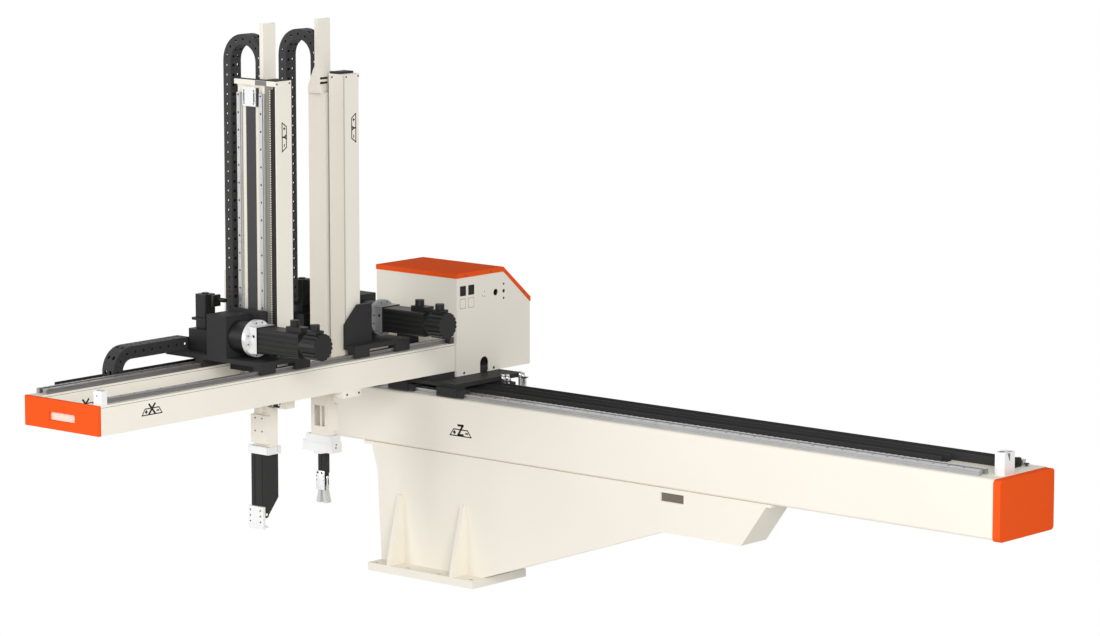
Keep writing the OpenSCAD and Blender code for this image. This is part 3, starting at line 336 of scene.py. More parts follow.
MATERIALS = {
    "cream_paint": powder_coat("cream_powder_coat", CREAM, 0.46),
    "orange_paint": powder_coat("orange_powder_coat", ORANGE, 0.62, sheen=0.006),
    "black_paint": powder_coat("charcoal_coat", CHARCOAL, 0.5),
    "servo_black": servo_enamel("servo_enamel", 1.0),
    "steel": ground_steel("ground_steel", (0.43, 0.43, 0.43), 0, metallic=0.6),
    "dark_steel": ground_steel("dark_ground_steel", (0.27, 0.26, 0.26), 1, 0.4),
    "chain_plastic": moulded_plastic("chain_plastic", PLASTIC),
    "belt_rubber": belt_and_clamp("belt_and_clamp", 0),
    "aluminium": blasted_aluminium("blasted_aluminium", BRIGHT),
}
SIGN_INK = printed_ink("marking_ink")
# Black of screws and studs, also used as painted shade in holes, slots and on a shaded side plate
SCREW_BLACK_AND_SHADE = black_oxide_and_shade("black_oxide_and_shade", (0.020, 0.020, 0.021))
# Grey of some screws, seams and marks, also used as painted shade in holes
HOLE_GREY = black_oxide_and_shade("shaded_hole", (0.10, 0.10, 0.095))
# Grey of the top insert, also used as painted shade in the stops' slots
INSERT_GREY_AND_SLOT_SHADE = blasted_aluminium("grey_insert_and_slot_shade", (0.17, 0.155, 0.16), 0.5)
CHROME = ground_steel("chromed_brass", (0.80, 0.80, 0.80), 2, 0.16, 0.9)
# Black of the toothed strip, also used as painted shade in the sub stage's gap
STRIP_BLACK = moulded_plastic("strip_rubber_and_painted_gap_shade", TOOTH_STRIP, 0.6)
SLOT_SHADE = powder_coat("slot_shade_coat", (0.185, 0.165, 0.125), 0.6)
# Painted shade along the sub cover's bend, where a real seam also runs
SEAM_SHADE = powder_coat("bend_line_shade_coat", (0.60, 0.56, 0.50), 0.5)
# Black of the switches and plugs, also used as painted shade in the wrist's grooves
SWITCH_BLACK_AND_GROOVE_SHADE = moulded_plastic("switch_plastic_and_groove_shade", (0.012, 0.012, 0.011), 0.35)


def paint(name, material):
    NODES[name].data.materials.clear()
    NODES[name].data.materials.append(material)


for entry in frame["record"]["subparts"]:
    paint(entry["node"], MATERIALS[entry["material_slot"]])
paint("main_stage_profile", stage_profile_coat("stage_profile_coat"))
paint("sub_stage_rails", belt_and_clamp("sub_rails_belt_and_clamp", 1))
# The sub servo's bare metal is painted darker as shade, at 0.42 of the main one's
paint("sub_lift_servo", servo_enamel("sub_servo_enamel_in_painted_shade", 0.42))
for jaw in ("sub_jaw_left", "sub_jaw_right"):
    paint(jaw, blasted_aluminium("jaw_aluminium", (0.60, 0.60, 0.585), 0.36))
paint("crosswise_stops", blasted_aluminium("crosswise_stop_block", BRIGHT, black_from=-0.6))


# Hand modelling


def new_object(name, data):
    """A new object in the scene."""
    piece = bpy.data.objects.new(name, data)
    bpy.context.scene.collection.objects.link(piece)
    return piece


def take(piece):
    """Selects one object and nothing else."""
    bpy.ops.object.select_all(action="DESELECT")
    bpy.context.view_layer.objects.active = piece
    piece.select_set(True)


def add_block(low, high):
    low, high = Vector(low), Vector(high)
    bpy.ops.object.select_all(action="DESELECT")
    bpy.ops.mesh.primitive_cube_add(size=1, location=(low + high) / 2, scale=high - low)
    bpy.ops.object.transform_apply(location=True, rotation=True, scale=True)
    return bpy.context.object


def add_rod(start, end, radius, sides=16):
    start, end = Vector(start), Vector(end)
    turn = (end - start).to_track_quat("Z", "Y").to_euler()
    bpy.ops.object.select_all(action="DESELECT")
    bpy.ops.mesh.primitive_cylinder_add(vertices=sides, radius=radius, depth=(end - start).length,
                                        location=(start + end) / 2, rotation=turn)
    bpy.ops.object.transform_apply(location=True, rotation=True, scale=True)
    return bpy.context.object


def facing(direction):
    """A test for faces that look in a direction."""
    return lambda face: face.normal.dot(Vector(direction)) > 0.9


def edit_faces(piece, wanted):
    """Opens a piece in edit mode with the faces selected for which wanted(face) holds."""
    take(piece)
    bpy.ops.object.mode_set(mode="EDIT")
    bpy.ops.mesh.select_mode(type="FACE")
    bpy.ops.mesh.select_all(action="DESELECT")
    mesh = bmesh.from_edit_mesh(piece.data)
    for face in mesh.faces:
        if wanted(face):
            face.select_set(True)
    bmesh.update_edit_mesh(piece.data)


def leave_edit():
    bpy.ops.object.mode_set(mode="OBJECT")


def sink(piece, wanted, rim, move):
    """Insets the wanted faces by a rim and extrudes what is inside it."""
    edit_faces(piece, wanted)
    bpy.ops.mesh.inset(thickness=rim)
    bpy.ops.mesh.extrude_region_move(TRANSFORM_OT_translate={"value": move})
    leave_edit()
    return piece


def narrow(piece, wanted, scale, centre):
    """Scales the wanted faces about a centre."""
    edit_faces(piece, wanted)
    bpy.ops.transform.resize(value=scale, center_override=centre)
    leave_edit()
    return piece


def finish_with(piece, kind, **settings):
    """Adds one modifier and applies it."""
    take(piece)
    modifier = piece.modifiers.new(kind.lower(), kind)
    for key, value in settings.items():
        setattr(modifier, key, value)
    bpy.ops.object.modifier_apply(modifier=modifier.name)


def soften(piece, width, segments=1):
    """Breaks the edges of a piece that are sharper than 40 degrees."""
    finish_with(piece, "BEVEL", width=width, segments=segments, limit_method="ANGLE",
                angle_limit=math.radians(40))
    return piece


def soft_block(low, high, width, segments=1):
    return soften(add_block(low, high), width, segments)


def soft_rod(start, end, radius, width, sides=16):
    return soften(add_rod(start, end, radius, sides), width)


def cut(piece, cutter):
    finish_with(piece, "BOOLEAN", object=cutter, operation="DIFFERENCE")
    bpy.data.objects.remove(cutter)


def join(pieces):
    bpy.ops.object.select_all(action="DESELECT")
    for piece in pieces:
        piece.select_set(True)
    bpy.context.view_layer.objects.active = pieces[0]
    if len(pieces) > 1:
        bpy.ops.object.join()
    return pieces[0]


def repeat(pattern, places):
    """Copies a pattern to each place, every copy with its own mesh, and joins them."""
    copies = []
    for place in places:
        copy = pattern.copy()
        copy.data = pattern.data.copy()
        copy.data.transform(place)
        bpy.context.scene.collection.objects.link(copy)
        copies.append(copy)
    bpy.data.objects.remove(pattern)
    return join(copies)


def axes(origin, along, across, out):
    """A place whose X, Y and Z follow three directions."""
    turn = Matrix((along, across, out)).transposed().to_4x4()
    return Matrix.Translation(origin) @ turn


def settle(piece, name, slot, body, material=None):
    """Names a finished piece, paints it as its slot or otherwise, and lets it ride on a body."""
    piece.name = name
    piece.data.name = name
    piece.data.materials.clear()
    piece.data.materials.append(material or MATERIALS[slot])
    take(piece)
    bpy.ops.object.shade_smooth_by_angle(angle=math.radians(35))
    if body:
        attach(piece, body)


SCREW_HEIGHT = 0.0012
SCREW_SIDES = 14
LARGE_HEAD, MIDDLE_HEAD, SMALL_HEAD, FINE_HEAD = 0.0060, 0.0050, 0.0036, 0.0030


def scatter(pattern, direction, face, spots):
    """Repeats a pattern on a face square to a direction, at spots given by their other two coordinates."""
    axis = [abs(part) for part in direction].index(1)
    turn = Vector(direction).to_track_quat("Z", "Y").to_matrix().to_4x4()
    points = [(*spot[:axis], face, *spot[axis:]) for spot in spots]
    return repeat(pattern, [Matrix.Translation(point) @ turn for point in points])


def add_screws(name, body, direction, face, spots, radius, slot="dark_steel", material=SCREW_BLACK_AND_SHADE):
    """Socket heads, each with its rim broken and its socket sunk."""
    head = soft_rod((0, 0, -SCREW_HEIGHT), (0, 0, SCREW_HEIGHT), radius, radius * 0.2, SCREW_SIDES)
    sink(head, facing(UP), radius * 0.32, (0, 0, -SCREW_HEIGHT * 0.7))
    settle(scatter(head, direction, face, spots), name, slot, body, material)


def add_holes(name, body, direction, face, spots, radius, slot, material=SCREW_BLACK_AND_SHADE, proud=FLUSH):
    """Sunk dishes that show counterbored holes, their rims just proud of the face, their dark colour painted shade
    of the holes.
    """
    dish = add_rod((0, 0, -0.001), (0, 0, proud), radius, SCREW_SIDES)
    sink(dish, facing(UP), radius * 0.16, (0, 0, -proud * 0.5))
    settle(scatter(dish, direction, face, spots), name, slot, body, material)


def steps(start, end, pitch):
    """Even steps from start towards end."""
    count = int(abs(end - start) / pitch + 1e-6) + 1
    return [start + math.copysign(pitch, end - start) * i for i in range(count)]


# Cable chains
ARM_LINK = 0.033
CROSS_LINK = 0.039
LINK_WALL = 0.0032
LINK_SEAM = 0.0004
WINDOW_OFFSET = 0.0115
WINDOW_WIDE = 0.0112
WINDOW_LONG = 0.0094
PIN_HOLE = 0.0044
JOINTS = {joint["name"]: joint for joint in frame["joints"]}
STAGE_TRAVEL = -JOINTS["main_lower"]["range_m"][0]
CROSS_TRAVEL = -JOINTS["main_cross"]["range_m"][0]


def make_link(pitch, width, thick):
    """One chain link along X: an open box with two windows through its lids and pin holes in its sides."""
    link = add_block((0, -thick / 2, -width / 2), (pitch - LINK_SEAM, thick / 2, width / 2))
    edit_faces(link, lambda face: abs(face.normal.x) > 0.9)
    bpy.ops.mesh.delete(type="FACE")
    for share in (0.33, 0.66):
        bpy.ops.mesh.select_all(action="SELECT")
        bpy.ops.mesh.bisect(plane_co=(pitch * share, 0, 0), plane_no=RIGHT)
    leave_edit()
    finish_with(link, "SOLIDIFY", thickness=LINK_WALL, offset=-1)
    for side in (-WINDOW_OFFSET, WINDOW_OFFSET):
        low = ((pitch - WINDOW_LONG) / 2, -thick, side - WINDOW_WIDE / 2)
        high = ((pitch + WINDOW_LONG) / 2, thick, side + WINDOW_WIDE / 2)
        cut(link, add_block(low, high))
    cut(link, add_rod((pitch / 2, 0, -width), (pitch / 2, 0, width), PIN_HOLE, 10))
    return link


def chain_run(length, pitch, width, thick, start=0.0):
    """A straight row of links along X that fills a length."""
    count = round(length / pitch)
    even = length / count
    places = [Matrix.Translation((start + even * i, 0, 0)) for i in range(count)]
    return repeat(make_link(even, width, thick), places)


def chain_bend(length, pitch, width, thick):
    """A row of links bent to a half circle that opens to +Y, its middle at the origin."""
    row = chain_run(length, pitch, width, thick, -length / 2)
    finish_with(row, "SIMPLE_DEFORM", deform_method="BEND", deform_axis="Z", angle=math.pi)
    return row


def lay(links, where, name, body=None):
    """Puts a run or a bend of links at its place and finishes it."""
    links.data.transform(where)
    settle(links, name, "chain_plastic", body)


def arm_chain(side):
    """The three parts of an arm's chain over its own CAD legs and bend."""
    fixed_low, fixed_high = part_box(side + "_chain_fixed_leg")
    moving_low, moving_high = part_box(side + "_chain_moving_leg")
    thick = fixed_high.x - fixed_low.x
    width = fixed_high.y - fixed_low.y
    fixed_x, middle_y, _ = middle((fixed_low, fixed_high))
    moving_x = middle((moving_low, moving_high))[0]
    radius = (moving_x - fixed_x) / 2
    length = fixed_high.z - fixed_low.z

    fixed = chain_run(length, ARM_LINK, width, thick)
    where = axes((fixed_x, middle_y, fixed_low.z), UP, RIGHT, BACK)
    lay(fixed, where, side + "_chain_fixed_links", side + "_saddle")
    keep = 1 - STAGE_TRAVEL / length
    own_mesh(fixed)
    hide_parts(side + "_chain_fixed_leg")

    bend = chain_bend(math.pi * radius, ARM_LINK, width, thick)
    top = (fixed_x + radius, middle_y, fixed_high.z + radius)
    lay(bend, axes(top, RIGHT, DOWN, BACK), side + "_chain_bend_links", side + "_stage")
    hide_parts(side + "_chain_bend")

    moving = chain_run(moving_high.z - moving_low.z, ARM_LINK, width, thick)
    lay(moving, axes((moving_x, middle_y, moving_low.z), UP, RIGHT, BACK), side + "_chain_moving_links")
    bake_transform(moving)
    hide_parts(side + "_chain_moving_leg")


def crosswise_chain():
    """The crosswise chain's lower run, bend and upper run."""
    low_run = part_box("crosswise_chain_lower_run")
    high_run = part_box("main_chain_upper_run")
    middle_x, _, low_z = middle(low_run)
    high_z = middle(high_run)[2]
    width = low_run[1].x - low_run[0].x
    thick = low_run[1].z - low_run[0].z
    radius = (high_z - low_z) / 2
    bend_y = low_run[0].y
    length = high_run[1].y - high_run[0].y

    lower = chain_run(low_run[1].y - bend_y, CROSS_LINK, width, thick)
    lay(lower, axes((middle_x, low_run[1].y, low_z), FRONT, UP, LEFT), "crosswise_chain_lower_links")
    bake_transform(lower)
    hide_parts("crosswise_chain_lower_run")

    bend = chain_bend(math.pi * radius, CROSS_LINK, width, thick)
    where = axes((middle_x, bend_y - radius, low_z + radius), UP, BACK, LEFT)
    lay(bend, where, "crosswise_chain_bend_links", "crosswise_chain")
    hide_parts("crosswise_chain_bend")

    upper = chain_run(length, CROSS_LINK, width, thick)
    where = axes((middle_x, high_run[1].y, high_z), FRONT, UP, LEFT)
    lay(upper, where, "main_chain_upper_links", "main_saddle")
    1 - CROSS_TRAVEL / 2 / length
    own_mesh(upper)
    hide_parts("main_chain_upper_run")


arm_chain("main")
arm_chain("sub")
crosswise_chain()

# Fixing holes of the profile rails, a hole every 60 mm
HOLE_PITCH = 0.060
RAIL_MARGIN = 0.020


def rail_holes():
    """Fixing holes on the traverse, crosswise and stage rails."""
    half_wide = 0.010
    for side, body, slot, along in (("traverse", "frame", "steel", 0),
                                    ("crosswise", "carriage", "dark_steel", 1)):
        low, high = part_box(side + "_rails")
        across = 1 - along
        spots = []
        for row in (low[across] + half_wide, high[across] - half_wide):
            for step in steps(low[along] + RAIL_MARGIN, high[along] - RAIL_MARGIN, HOLE_PITCH):
                spots.append((row, step) if along else (step, row))
        add_holes(side + "_rail_holes", body, UP, high.z, spots, 0.0048, slot, proud=0.0001)

    half_wide, radius, first = 0.0075, 0.0036, 0.0082
    low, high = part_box("main_stage_rails")
    heights = steps(high.z - first, low.z + RAIL_MARGIN, HOLE_PITCH)
    spots = [(x, z) for x in (low.x + half_wide, high.x - half_wide) for z in heights]
    add_holes("main_rail_holes", "main_stage", FRONT, low.y, spots, radius, "steel")
    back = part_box("sub_stage_cover")[1].y
    add_holes("sub_rail_holes", "sub_stage", BACK, back, spots, radius, "steel")


rail_holes()

# Axis signs: an outline with plus and minus round a letter drawn on a grid of half widths and heights
SIGN_THICK = 0.0003
LETTERS = {
    "X": [((-1, 0), (1, 2)), ((-1, 2), (1, 0))],
    "Y": [((-1, 2), (0, 1)), ((1, 2), (0, 1)), ((0, 1), (0, 0))],
    "Z": [((-1, 2), (1, 2)), ((1, 2), (-1, 0)), ((-1, 0), (1, 0))],
}
# Letter's half width and half height, its stroke, the outline's stroke, height, base and top
LARGE_SIGN = (0.0105, 0.0168, 0.0078, 0.0039, 0.0225, 0.098, 0.064)
MIDDLE_SIGN = (0.0125, 0.0150, 0.0070, 0.0035, 0.0205, 0.090, 0.062)
SMALL_SIGN = (0.0064, 0.0085, 0.0052, 0.00364, 0.0205, 0.098, 0.069)
MARK_OFFSET, MARK_ARM, MARK_STROKE = 0.29, 0.17, 0.7


def add_stroke(start, end, width):
    """A flat bar between two points of the XY plane, its corners broken."""
    start, end = Vector((*start, 0)), Vector((*end, 0))
    along = end - start
    low = (-width / 2, -width / 2, 0)
    bar = soft_block(low, (along.length + width / 2, width / 2, SIGN_THICK), SIGN_THICK * 0.3)
    turn = Matrix.Rotation(math.atan2(along.y, along.x), 4, "Z")
    bar.data.transform(Matrix.Translation(start) @ turn)
    return bar


def axis_sign(name, body, letter, size, where):
    """One sign on the XY plane, its long side through the origin, put at a place."""
    half_wide, half_high, stroke, outline, height, base, top = size
    corners = [(-base / 2, 0), (base / 2, 0), (top / 2, height), (-top / 2, height)]
    bars = [add_stroke(a, b, outline) for a, b in zip(corners, corners[1:] + corners[:1])]
    for ends in LETTERS[letter]:
        start, end = [(x * half_wide, stroke / 2 + y * half_high) for x, y in ends]
        bars.append(add_stroke(start, end, stroke))
    plus, minus, arm, centre = -base * MARK_OFFSET, base * MARK_OFFSET, height * MARK_ARM, height / 2
    for start, end in (((plus - arm, centre), (plus + arm, centre)),
                       ((plus, centre - arm), (plus, centre + arm)),
                       ((minus - arm, centre), (minus + arm, centre))):
        bars.append(add_stroke(start, end, stroke * MARK_STROKE))
    sign = join(bars)
    sign.data.transform(where)
    settle(sign, name, "black_paint", body, SIGN_INK)


def axis_signs():
    """Signs on the traverse beam, both crosswise beams and both stage covers."""
    near_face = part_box("crosswise_near_beam")[1].x
    far_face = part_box("crosswise_far_beam")[1].x
    cover_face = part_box("main_stage_cover")[1].x - 0.002
    axis_sign("traverse_beam_sign", "frame", "Z", LARGE_SIGN,
              axes((0.131, BEAM_LOW.y, 0.5155), RIGHT, UP, FRONT))
    axis_sign("near_beam_sign", "carriage", "X", MIDDLE_SIGN,
              axes((near_face, -1.4135, 0.7560), BACK, UP, RIGHT))
    axis_sign("far_beam_sign", "carriage", "X", MIDDLE_SIGN,
              axes((far_face, -1.4330, 0.7400), BACK, UP, RIGHT))
    axis_sign("main_cover_sign", "main_stage", "Y", SMALL_SIGN,
              axes((cover_face, -0.7165, 1.5986), DOWN, BACK, RIGHT))
    axis_sign("sub_cover_sign", "sub_stage", "Y", SMALL_SIGN,
              axes((cover_face, -0.3560, 1.6016), DOWN, FRONT, RIGHT))


axis_signs()


def cabinet_face():
    """Switches, blanking plates, marks and screws on the cabinet's +X side, and the box in its slot."""
    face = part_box("cabinet")[1].x
    lid_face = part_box("cabinet_lid")[1].x
    columns = ((0.0828, 0.1128), (0.1265, 0.1565))
    switch_low, switch_high = 0.9762, 1.0112
    plate_low, plate_high = 0.9308, 0.9657
    gap = 0.0011
    root = face - ROOT
    switches, gaps, blanks = [], [], []
    for left, right in columns:
        switch = soft_block((root, left, switch_low), (face + 0.0016, right, switch_high), 0.0006)
        switches.append(sink(switch, facing(RIGHT), 0.0022, (-0.0009, 0, 0)))
        gaps.append(add_block((root, left, plate_low), (face + FLUSH, right, plate_high)))
        blanks.append(soft_block((root, left + gap, plate_low + gap),
                                 (face + 0.0006, right - gap, plate_high - gap), 0.0003))
    settle(join(switches), "cabinet_switches", "black_paint", "carriage", SWITCH_BLACK_AND_GROOVE_SHADE)
    settle(join(gaps), "cabinet_blank_gaps", "black_paint", "carriage", SCREW_BLACK_AND_SHADE)
    settle(join(blanks), "cabinet_blanks", "cream_paint", "carriage")

    for name, radius, material, spots in (
            ("cabinet_small_holes", 0.0042, SCREW_BLACK_AND_SHADE, ((0.3143, 0.9960), (0.3143, 0.9454))),
            ("cabinet_middle_hole", 0.0065, SCREW_BLACK_AND_SHADE, ((0.3143, 0.9708),)),
            ("cabinet_marks", 0.0021, HOLE_GREY, ((0.2005, 0.9653), (0.2122, 0.9808), (0.2137, 0.9624)))):
        add_holes(name, "carriage", RIGHT, face, spots, radius, "black_paint", material)
    add_screws("cabinet_screws", "carriage", RIGHT, face, ((0.1036, 0.7014), (0.2610, 0.7017)), MIDDLE_HEAD)
    spots = ((0.1099, 1.0480), (0.2449, 1.0480), (0.4215, 0.9560))
    add_screws("lid_screws", "carriage", RIGHT, lid_face, spots, SMALL_HEAD, material=HOLE_GREY)
    slot_box = soft_block((face - 0.060, 0.1905, 0.6928), (root, 0.2295, 0.7160), 0.0015, 2)
    settle(slot_box, "cabinet_slot_box", "black_paint", "carriage")


cabinet_face()


def carriage_details():
    """Screws of the carriage plate and its blocks, and the small parts of the crosswise beams."""
    near_low, near_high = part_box("crosswise_near_beam")
    face = near_high.x
    plate_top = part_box("traverse_servo")[0].z
    spots = ((0.067, 0.053), (0.066, 0.203), (0.058, -0.021), (0.020, -0.030), (0.020, 0.262),
             (0.075, 0.262))
    add_screws("carriage_plate_screws", "carriage", UP, plate_top, spots, LARGE_HEAD)
    block_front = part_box("traverse_blocks")[0].y
    spots = [(x, 0.6560) for x in (-0.372, -0.305, -0.202, -0.135, 0.028, 0.095)]
    add_screws("traverse_block_screws", "carriage", FRONT, block_front, spots, SMALL_HEAD)

    seam_low, seam_high = near_high.z - 0.0078, near_high.z - 0.0066
    seams = []
    for side in (face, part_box("crosswise_far_beam")[1].x):
        low = (side - 0.001, near_low.y + 0.002, seam_low)
        seams.append(soft_block(low, (side + FLUSH, near_high.y - 0.001, seam_high), 0.0001))
    settle(join(seams), "crosswise_beam_seams", "cream_paint", "carriage", HOLE_GREY)

    bracket = soft_block((face - 0.040, -0.510, 0.6880), (face, -0.420, 0.7132), 0.0012, 2)
    settle(bracket, "near_beam_bracket", "cream_paint", "carriage")
    spots = ((-0.4897, 0.7000), (-0.4305, 0.7000))
    add_holes("near_beam_bracket_holes", "carriage", RIGHT, face, spots, 0.0042, "black_paint")

    low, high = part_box("crosswise_stops")
    slots = []
    for left in (high.x - 0.034, high.x - 0.016):
        near = (left, low.y + 0.006, high.z - ROOT)
        slots.append(soft_block(near, (left + 0.012, low.y + 0.024, high.z + FLUSH), 0.0012))
    # The stop's slots are painted grey as their shade
    settle(join(slots), "crosswise_stop_slots", "aluminium", "carriage", INSERT_GREY_AND_SLOT_SHADE)
    add_holes("crosswise_stop_hole", "carriage", FRONT, low.y, ((high.x - 0.022, high.z - 0.016),), 0.0028,
              "aluminium", HOLE_GREY)


# Air fittings beside the carriage plate: x, y, foot and top of each, and the plugs between them
FITTINGS = ((0.107, 0.1802, 0.646, 0.6990), (0.129, 0.1802, 0.646, 0.7010),
            (0.109, 0.2700, 0.636, 0.7000), (0.109, 0.2860, 0.640, 0.6940))
PLUGS = ((0.118, 0.1762, 0.645, 0.6860), (0.124, 0.2790, 0.636, 0.6750))
# Far x, low y and high y of the plates that carry them
FITTING_PLATES = ((0.143, 0.169, 0.189), (0.130, 0.268, 0.291))


def air_fittings():
    """Turned fittings with their ports, plugs and the plates under them."""
    parts = []
    for x, y, foot, top in FITTINGS:
        stem = soft_rod((x, y, foot), (x, y, top), 0.0068, 0.0010)
        collar = soft_rod((x, y, top - 0.018), (x, y, top - 0.010), 0.0086, 0.0008, 6)
        port = add_rod((x, y, top - 0.006), (x + 0.0085, y - 0.0095, top - 0.006), 0.0058)
        sink(port, lambda face: face.normal.x > 0.6 and face.normal.y < -0.5, 0.0016, (-0.004, 0.0032, 0))
        parts += [stem, collar, port]
    for x, y, foot, top in PLUGS:
        parts.append(soft_rod((x, y, foot), (x, y, top), 0.0074, 0.0014))
        parts.append(soft_rod((x, y, foot + 0.012), (x, y, foot + 0.016), 0.0080, 0.0008))
    plate_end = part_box("carriage_plate")[1].x - 0.004
    feet = [soft_block((plate_end, near, 0.6760), (far_x, far, 0.6790), 0.0006)
            for far_x, near, far in FITTING_PLATES]
    settle(join(parts), "air_fittings", "steel", "carriage", CHROME)
    settle(join(feet), "air_fitting_feet", "black_paint", "carriage")


carriage_details()
air_fittings()


def traverse_stop_details():
    """Recesses of the traverse beam's near stop, painted dark as their shade, and the two studs beside it."""
    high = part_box("traverse_stops")[1]
    wedge = add_block((high.x - ROOT, 0.0110, 0.6890), (high.x + INLAY, 0.0255, high.z - 0.003))
    recesses = [narrow(wedge, facing(DOWN), (1, 0.16, 1), (high.x, 0.0255, 0.689))]
    for left, near, right, far in ((0.035, 0.000, 0.014, 0.026), (0.012, 0.016, 0.002, 0.048)):
        low = (high.x - left, near, high.z - ROOT)
        recesses.append(soft_block(low, (high.x - right, far, high.z + INLAY), 0.0015))
    settle(join(recesses), "traverse_stop_slots", "aluminium", "frame", INSERT_GREY_AND_SLOT_SHADE)

    studs = []
    for x, y, tall in ((2.300, 0.1800, 0.026), (2.3277, 0.1873, 0.010)):
        top = BEAM_HIGH.z + tall
        neck = top - 0.004
        studs.append(soft_rod((x, y, BEAM_HIGH.z), (x, y, top), 0.0035, 0.0005))
        head = soft_rod((x, y, neck), (x, y, top), 0.0095, 0.0010)
        studs.append(narrow(head, facing(DOWN), (0.7, 0.7, 1), (x, y, neck)))
    settle(join(studs), "traverse_beam_studs", "dark_steel", "frame", SCREW_BLACK_AND_SHADE)


def pedestal_slot():
    """A dark sheet on the floor of the pedestal's hand slot, painted shade for the slot's inside."""
    floor_y = BEAM_LOW.y + 0.007
    floor = [corner.co for corner in NODES["pedestal"].data.vertices if abs(corner.co.y - floor_y) < 0.0003]
    left, right = min(point.x for point in floor), max(point.x for point in floor)
    bottom, top = min(point.z for point in floor), max(point.z for point in floor)
    low = (left + INLAY, floor_y - 0.0006, bottom + INLAY)
    # Painted shade: a dark sheet where the inside of the slot lies in shade
    painted_slot_shade = soft_block(low, (right - INLAY, floor_y + 0.001, top - INLAY), 0.0003)
    settle(painted_slot_shade, "pedestal_slot_painted_shade", "cream_paint", "frame", SLOT_SHADE)


def base_holes():
    """Dark bottoms painted as shade in the base plate's bolt holes, found from the rims on its top."""
    low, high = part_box("base_plate")
    top, edge, widest = high.z, 0.006, 0.026
    rims = [corner.co for corner in NODES["base_plate"].data.vertices
            if abs(corner.co.z - top) < 0.0002
            and low.x + edge < corner.co.x < high.x - edge and low.y + edge < corner.co.y < high.y - edge]
    holes = []
    for point in rims:
        near = [hole for hole in holes if (hole[0] - point).length < widest]
        if near:
            near[0].append(point)
        else:
            holes.append([point])
    discs = []
    for hole in holes:
        centre = sum(hole, Vector()) / len(hole)
        radius = max((point - centre).length for point in hole)
        # Each hole gets a dark disc as painted shade
        bottom = (centre.x, centre.y, top - 0.012)
        disc = add_rod(bottom, (centre.x, centre.y, top - 0.0015), radius + 0.0002)
        discs.append(sink(disc, facing(UP), radius * 0.3, (0, 0, -0.004)))
    settle(join(discs), "base_bolt_holes", "cream_paint", "frame", HOLE_GREY)


traverse_stop_details()
pedestal_slot()
base_holes()

# Servo drives: faces along X, the ring's bolt circle, heights of the housing screws and plugs
RING_FACE = ARM_X + 0.1235
ADAPTER_HOLE = ARM_X + 0.1400
BOLT_CIRCLE = 0.0560
BOLTS = 12
HOUSING_SCREW_Z = 0.9940
PLUG_Z = 1.0375


def servo_details(side, first_screw, pitch, count):
    """Ring bolts, adapter hole and housing screws of one lift drive, and the crosswise servo's plug."""
    body = side + "_saddle"
    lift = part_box(side + "_lift_servo")
    middle_y = middle(lift)[1]
    middle_z = lift[0].z + (lift[1].y - lift[0].y) / 2
    turns = [math.radians(360 / BOLTS * i + 15) for i in range(BOLTS)]
    ring = [(middle_y + BOLT_CIRCLE * math.cos(a), middle_z + BOLT_CIRCLE * math.sin(a)) for a in turns]
    add_screws(side + "_ring_bolts", body, RIGHT, RING_FACE, ring, FINE_HEAD, material=HOLE_GREY)
    spots = ((ADAPTER_HOLE, middle_z + 0.014),)
    add_holes(side + "_adapter_hole", body, FRONT, middle_y - 0.045, spots, 0.0052, "black_paint")
    row = [(first_screw + pitch * i, HOUSING_SCREW_Z) for i in range(count)]
    add_screws(side + "_housing_screws", body, RIGHT, lift[0].x, row, 0.0032)

    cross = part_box(side + "_cross_servo")
    plug_y = middle(cross)[1]
    face = cross[1].x

    def on_axis(offset):
        return (face + offset, plug_y, PLUG_Z)

    low = (face - 0.004, plug_y - 0.018, 1.0130)
    box = soft_block(low, (face + 0.008, plug_y + 0.018, 1.0530), 0.0020, 2)
    stem = soft_rod(on_axis(0), on_axis(0.020), 0.0026, 0.0004)
    knob = add_rod(on_axis(0.018), on_axis(0.050), 0.0068, 12)
    edit_faces(knob, lambda side_face: abs(side_face.normal.x) < 0.1)
    bpy.ops.mesh.inset(thickness=0.0008, depth=-0.0008, use_individual=True)
    leave_edit()
    cap = soft_rod(on_axis(0.026), on_axis(0.044), 0.0078, 0.0016)
    settle(join([box, stem, knob, cap]), side + "_cross_servo_plug", "servo_black", body, SWITCH_BLACK_AND_GROOVE_SHADE)


servo_details("main", -0.8779, 0.0299, 4)
servo_details("sub", -0.2250, 0.0298, 3)


def saddle_details():
    """Screws of both saddles and of the main arm's housing, guide bracket and chain bracket."""
    for side in ("main", "sub"):
        low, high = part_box(side + "_saddle")
        right, edge = high.x - 0.014, 0.016
        spots = [(x, y) for x in (-0.372, right, right - 0.030) for y in (low.y + edge, high.y - edge)]
        add_screws(side + "_saddle_screws", side + "_saddle", UP, SADDLE_TOP, spots, MIDDLE_HEAD)
    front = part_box("main_drive_housing")[0].y
    spots = ((-0.1965, 0.984), (-0.1965, 0.876), (-0.2700, 0.984))
    add_screws("main_housing_front_screws", "main_saddle", FRONT, front, spots, FINE_HEAD)
    low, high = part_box("main_guide_bracket")
    spots = [(low.y + 0.016, z) for z in (0.970, 0.900)]
    add_screws("main_guide_screws", "main_saddle", RIGHT, high.x, spots, SMALL_HEAD)
    spots = [(x, high.z - 0.014) for x in (-0.270, -0.246, -0.222, -0.198, -0.174, -0.150)]
    add_screws("main_guide_front_screws", "main_saddle", FRONT, low.y, spots, FINE_HEAD)
    low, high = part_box("main_chain_bracket")
    spots = [(low.x + 0.022, high.z - 0.030 - 0.040 * i) for i in range(3)]
    add_screws("main_chain_bracket_screws", "main_saddle", FRONT, low.y, spots, 0.0034)


saddle_details()

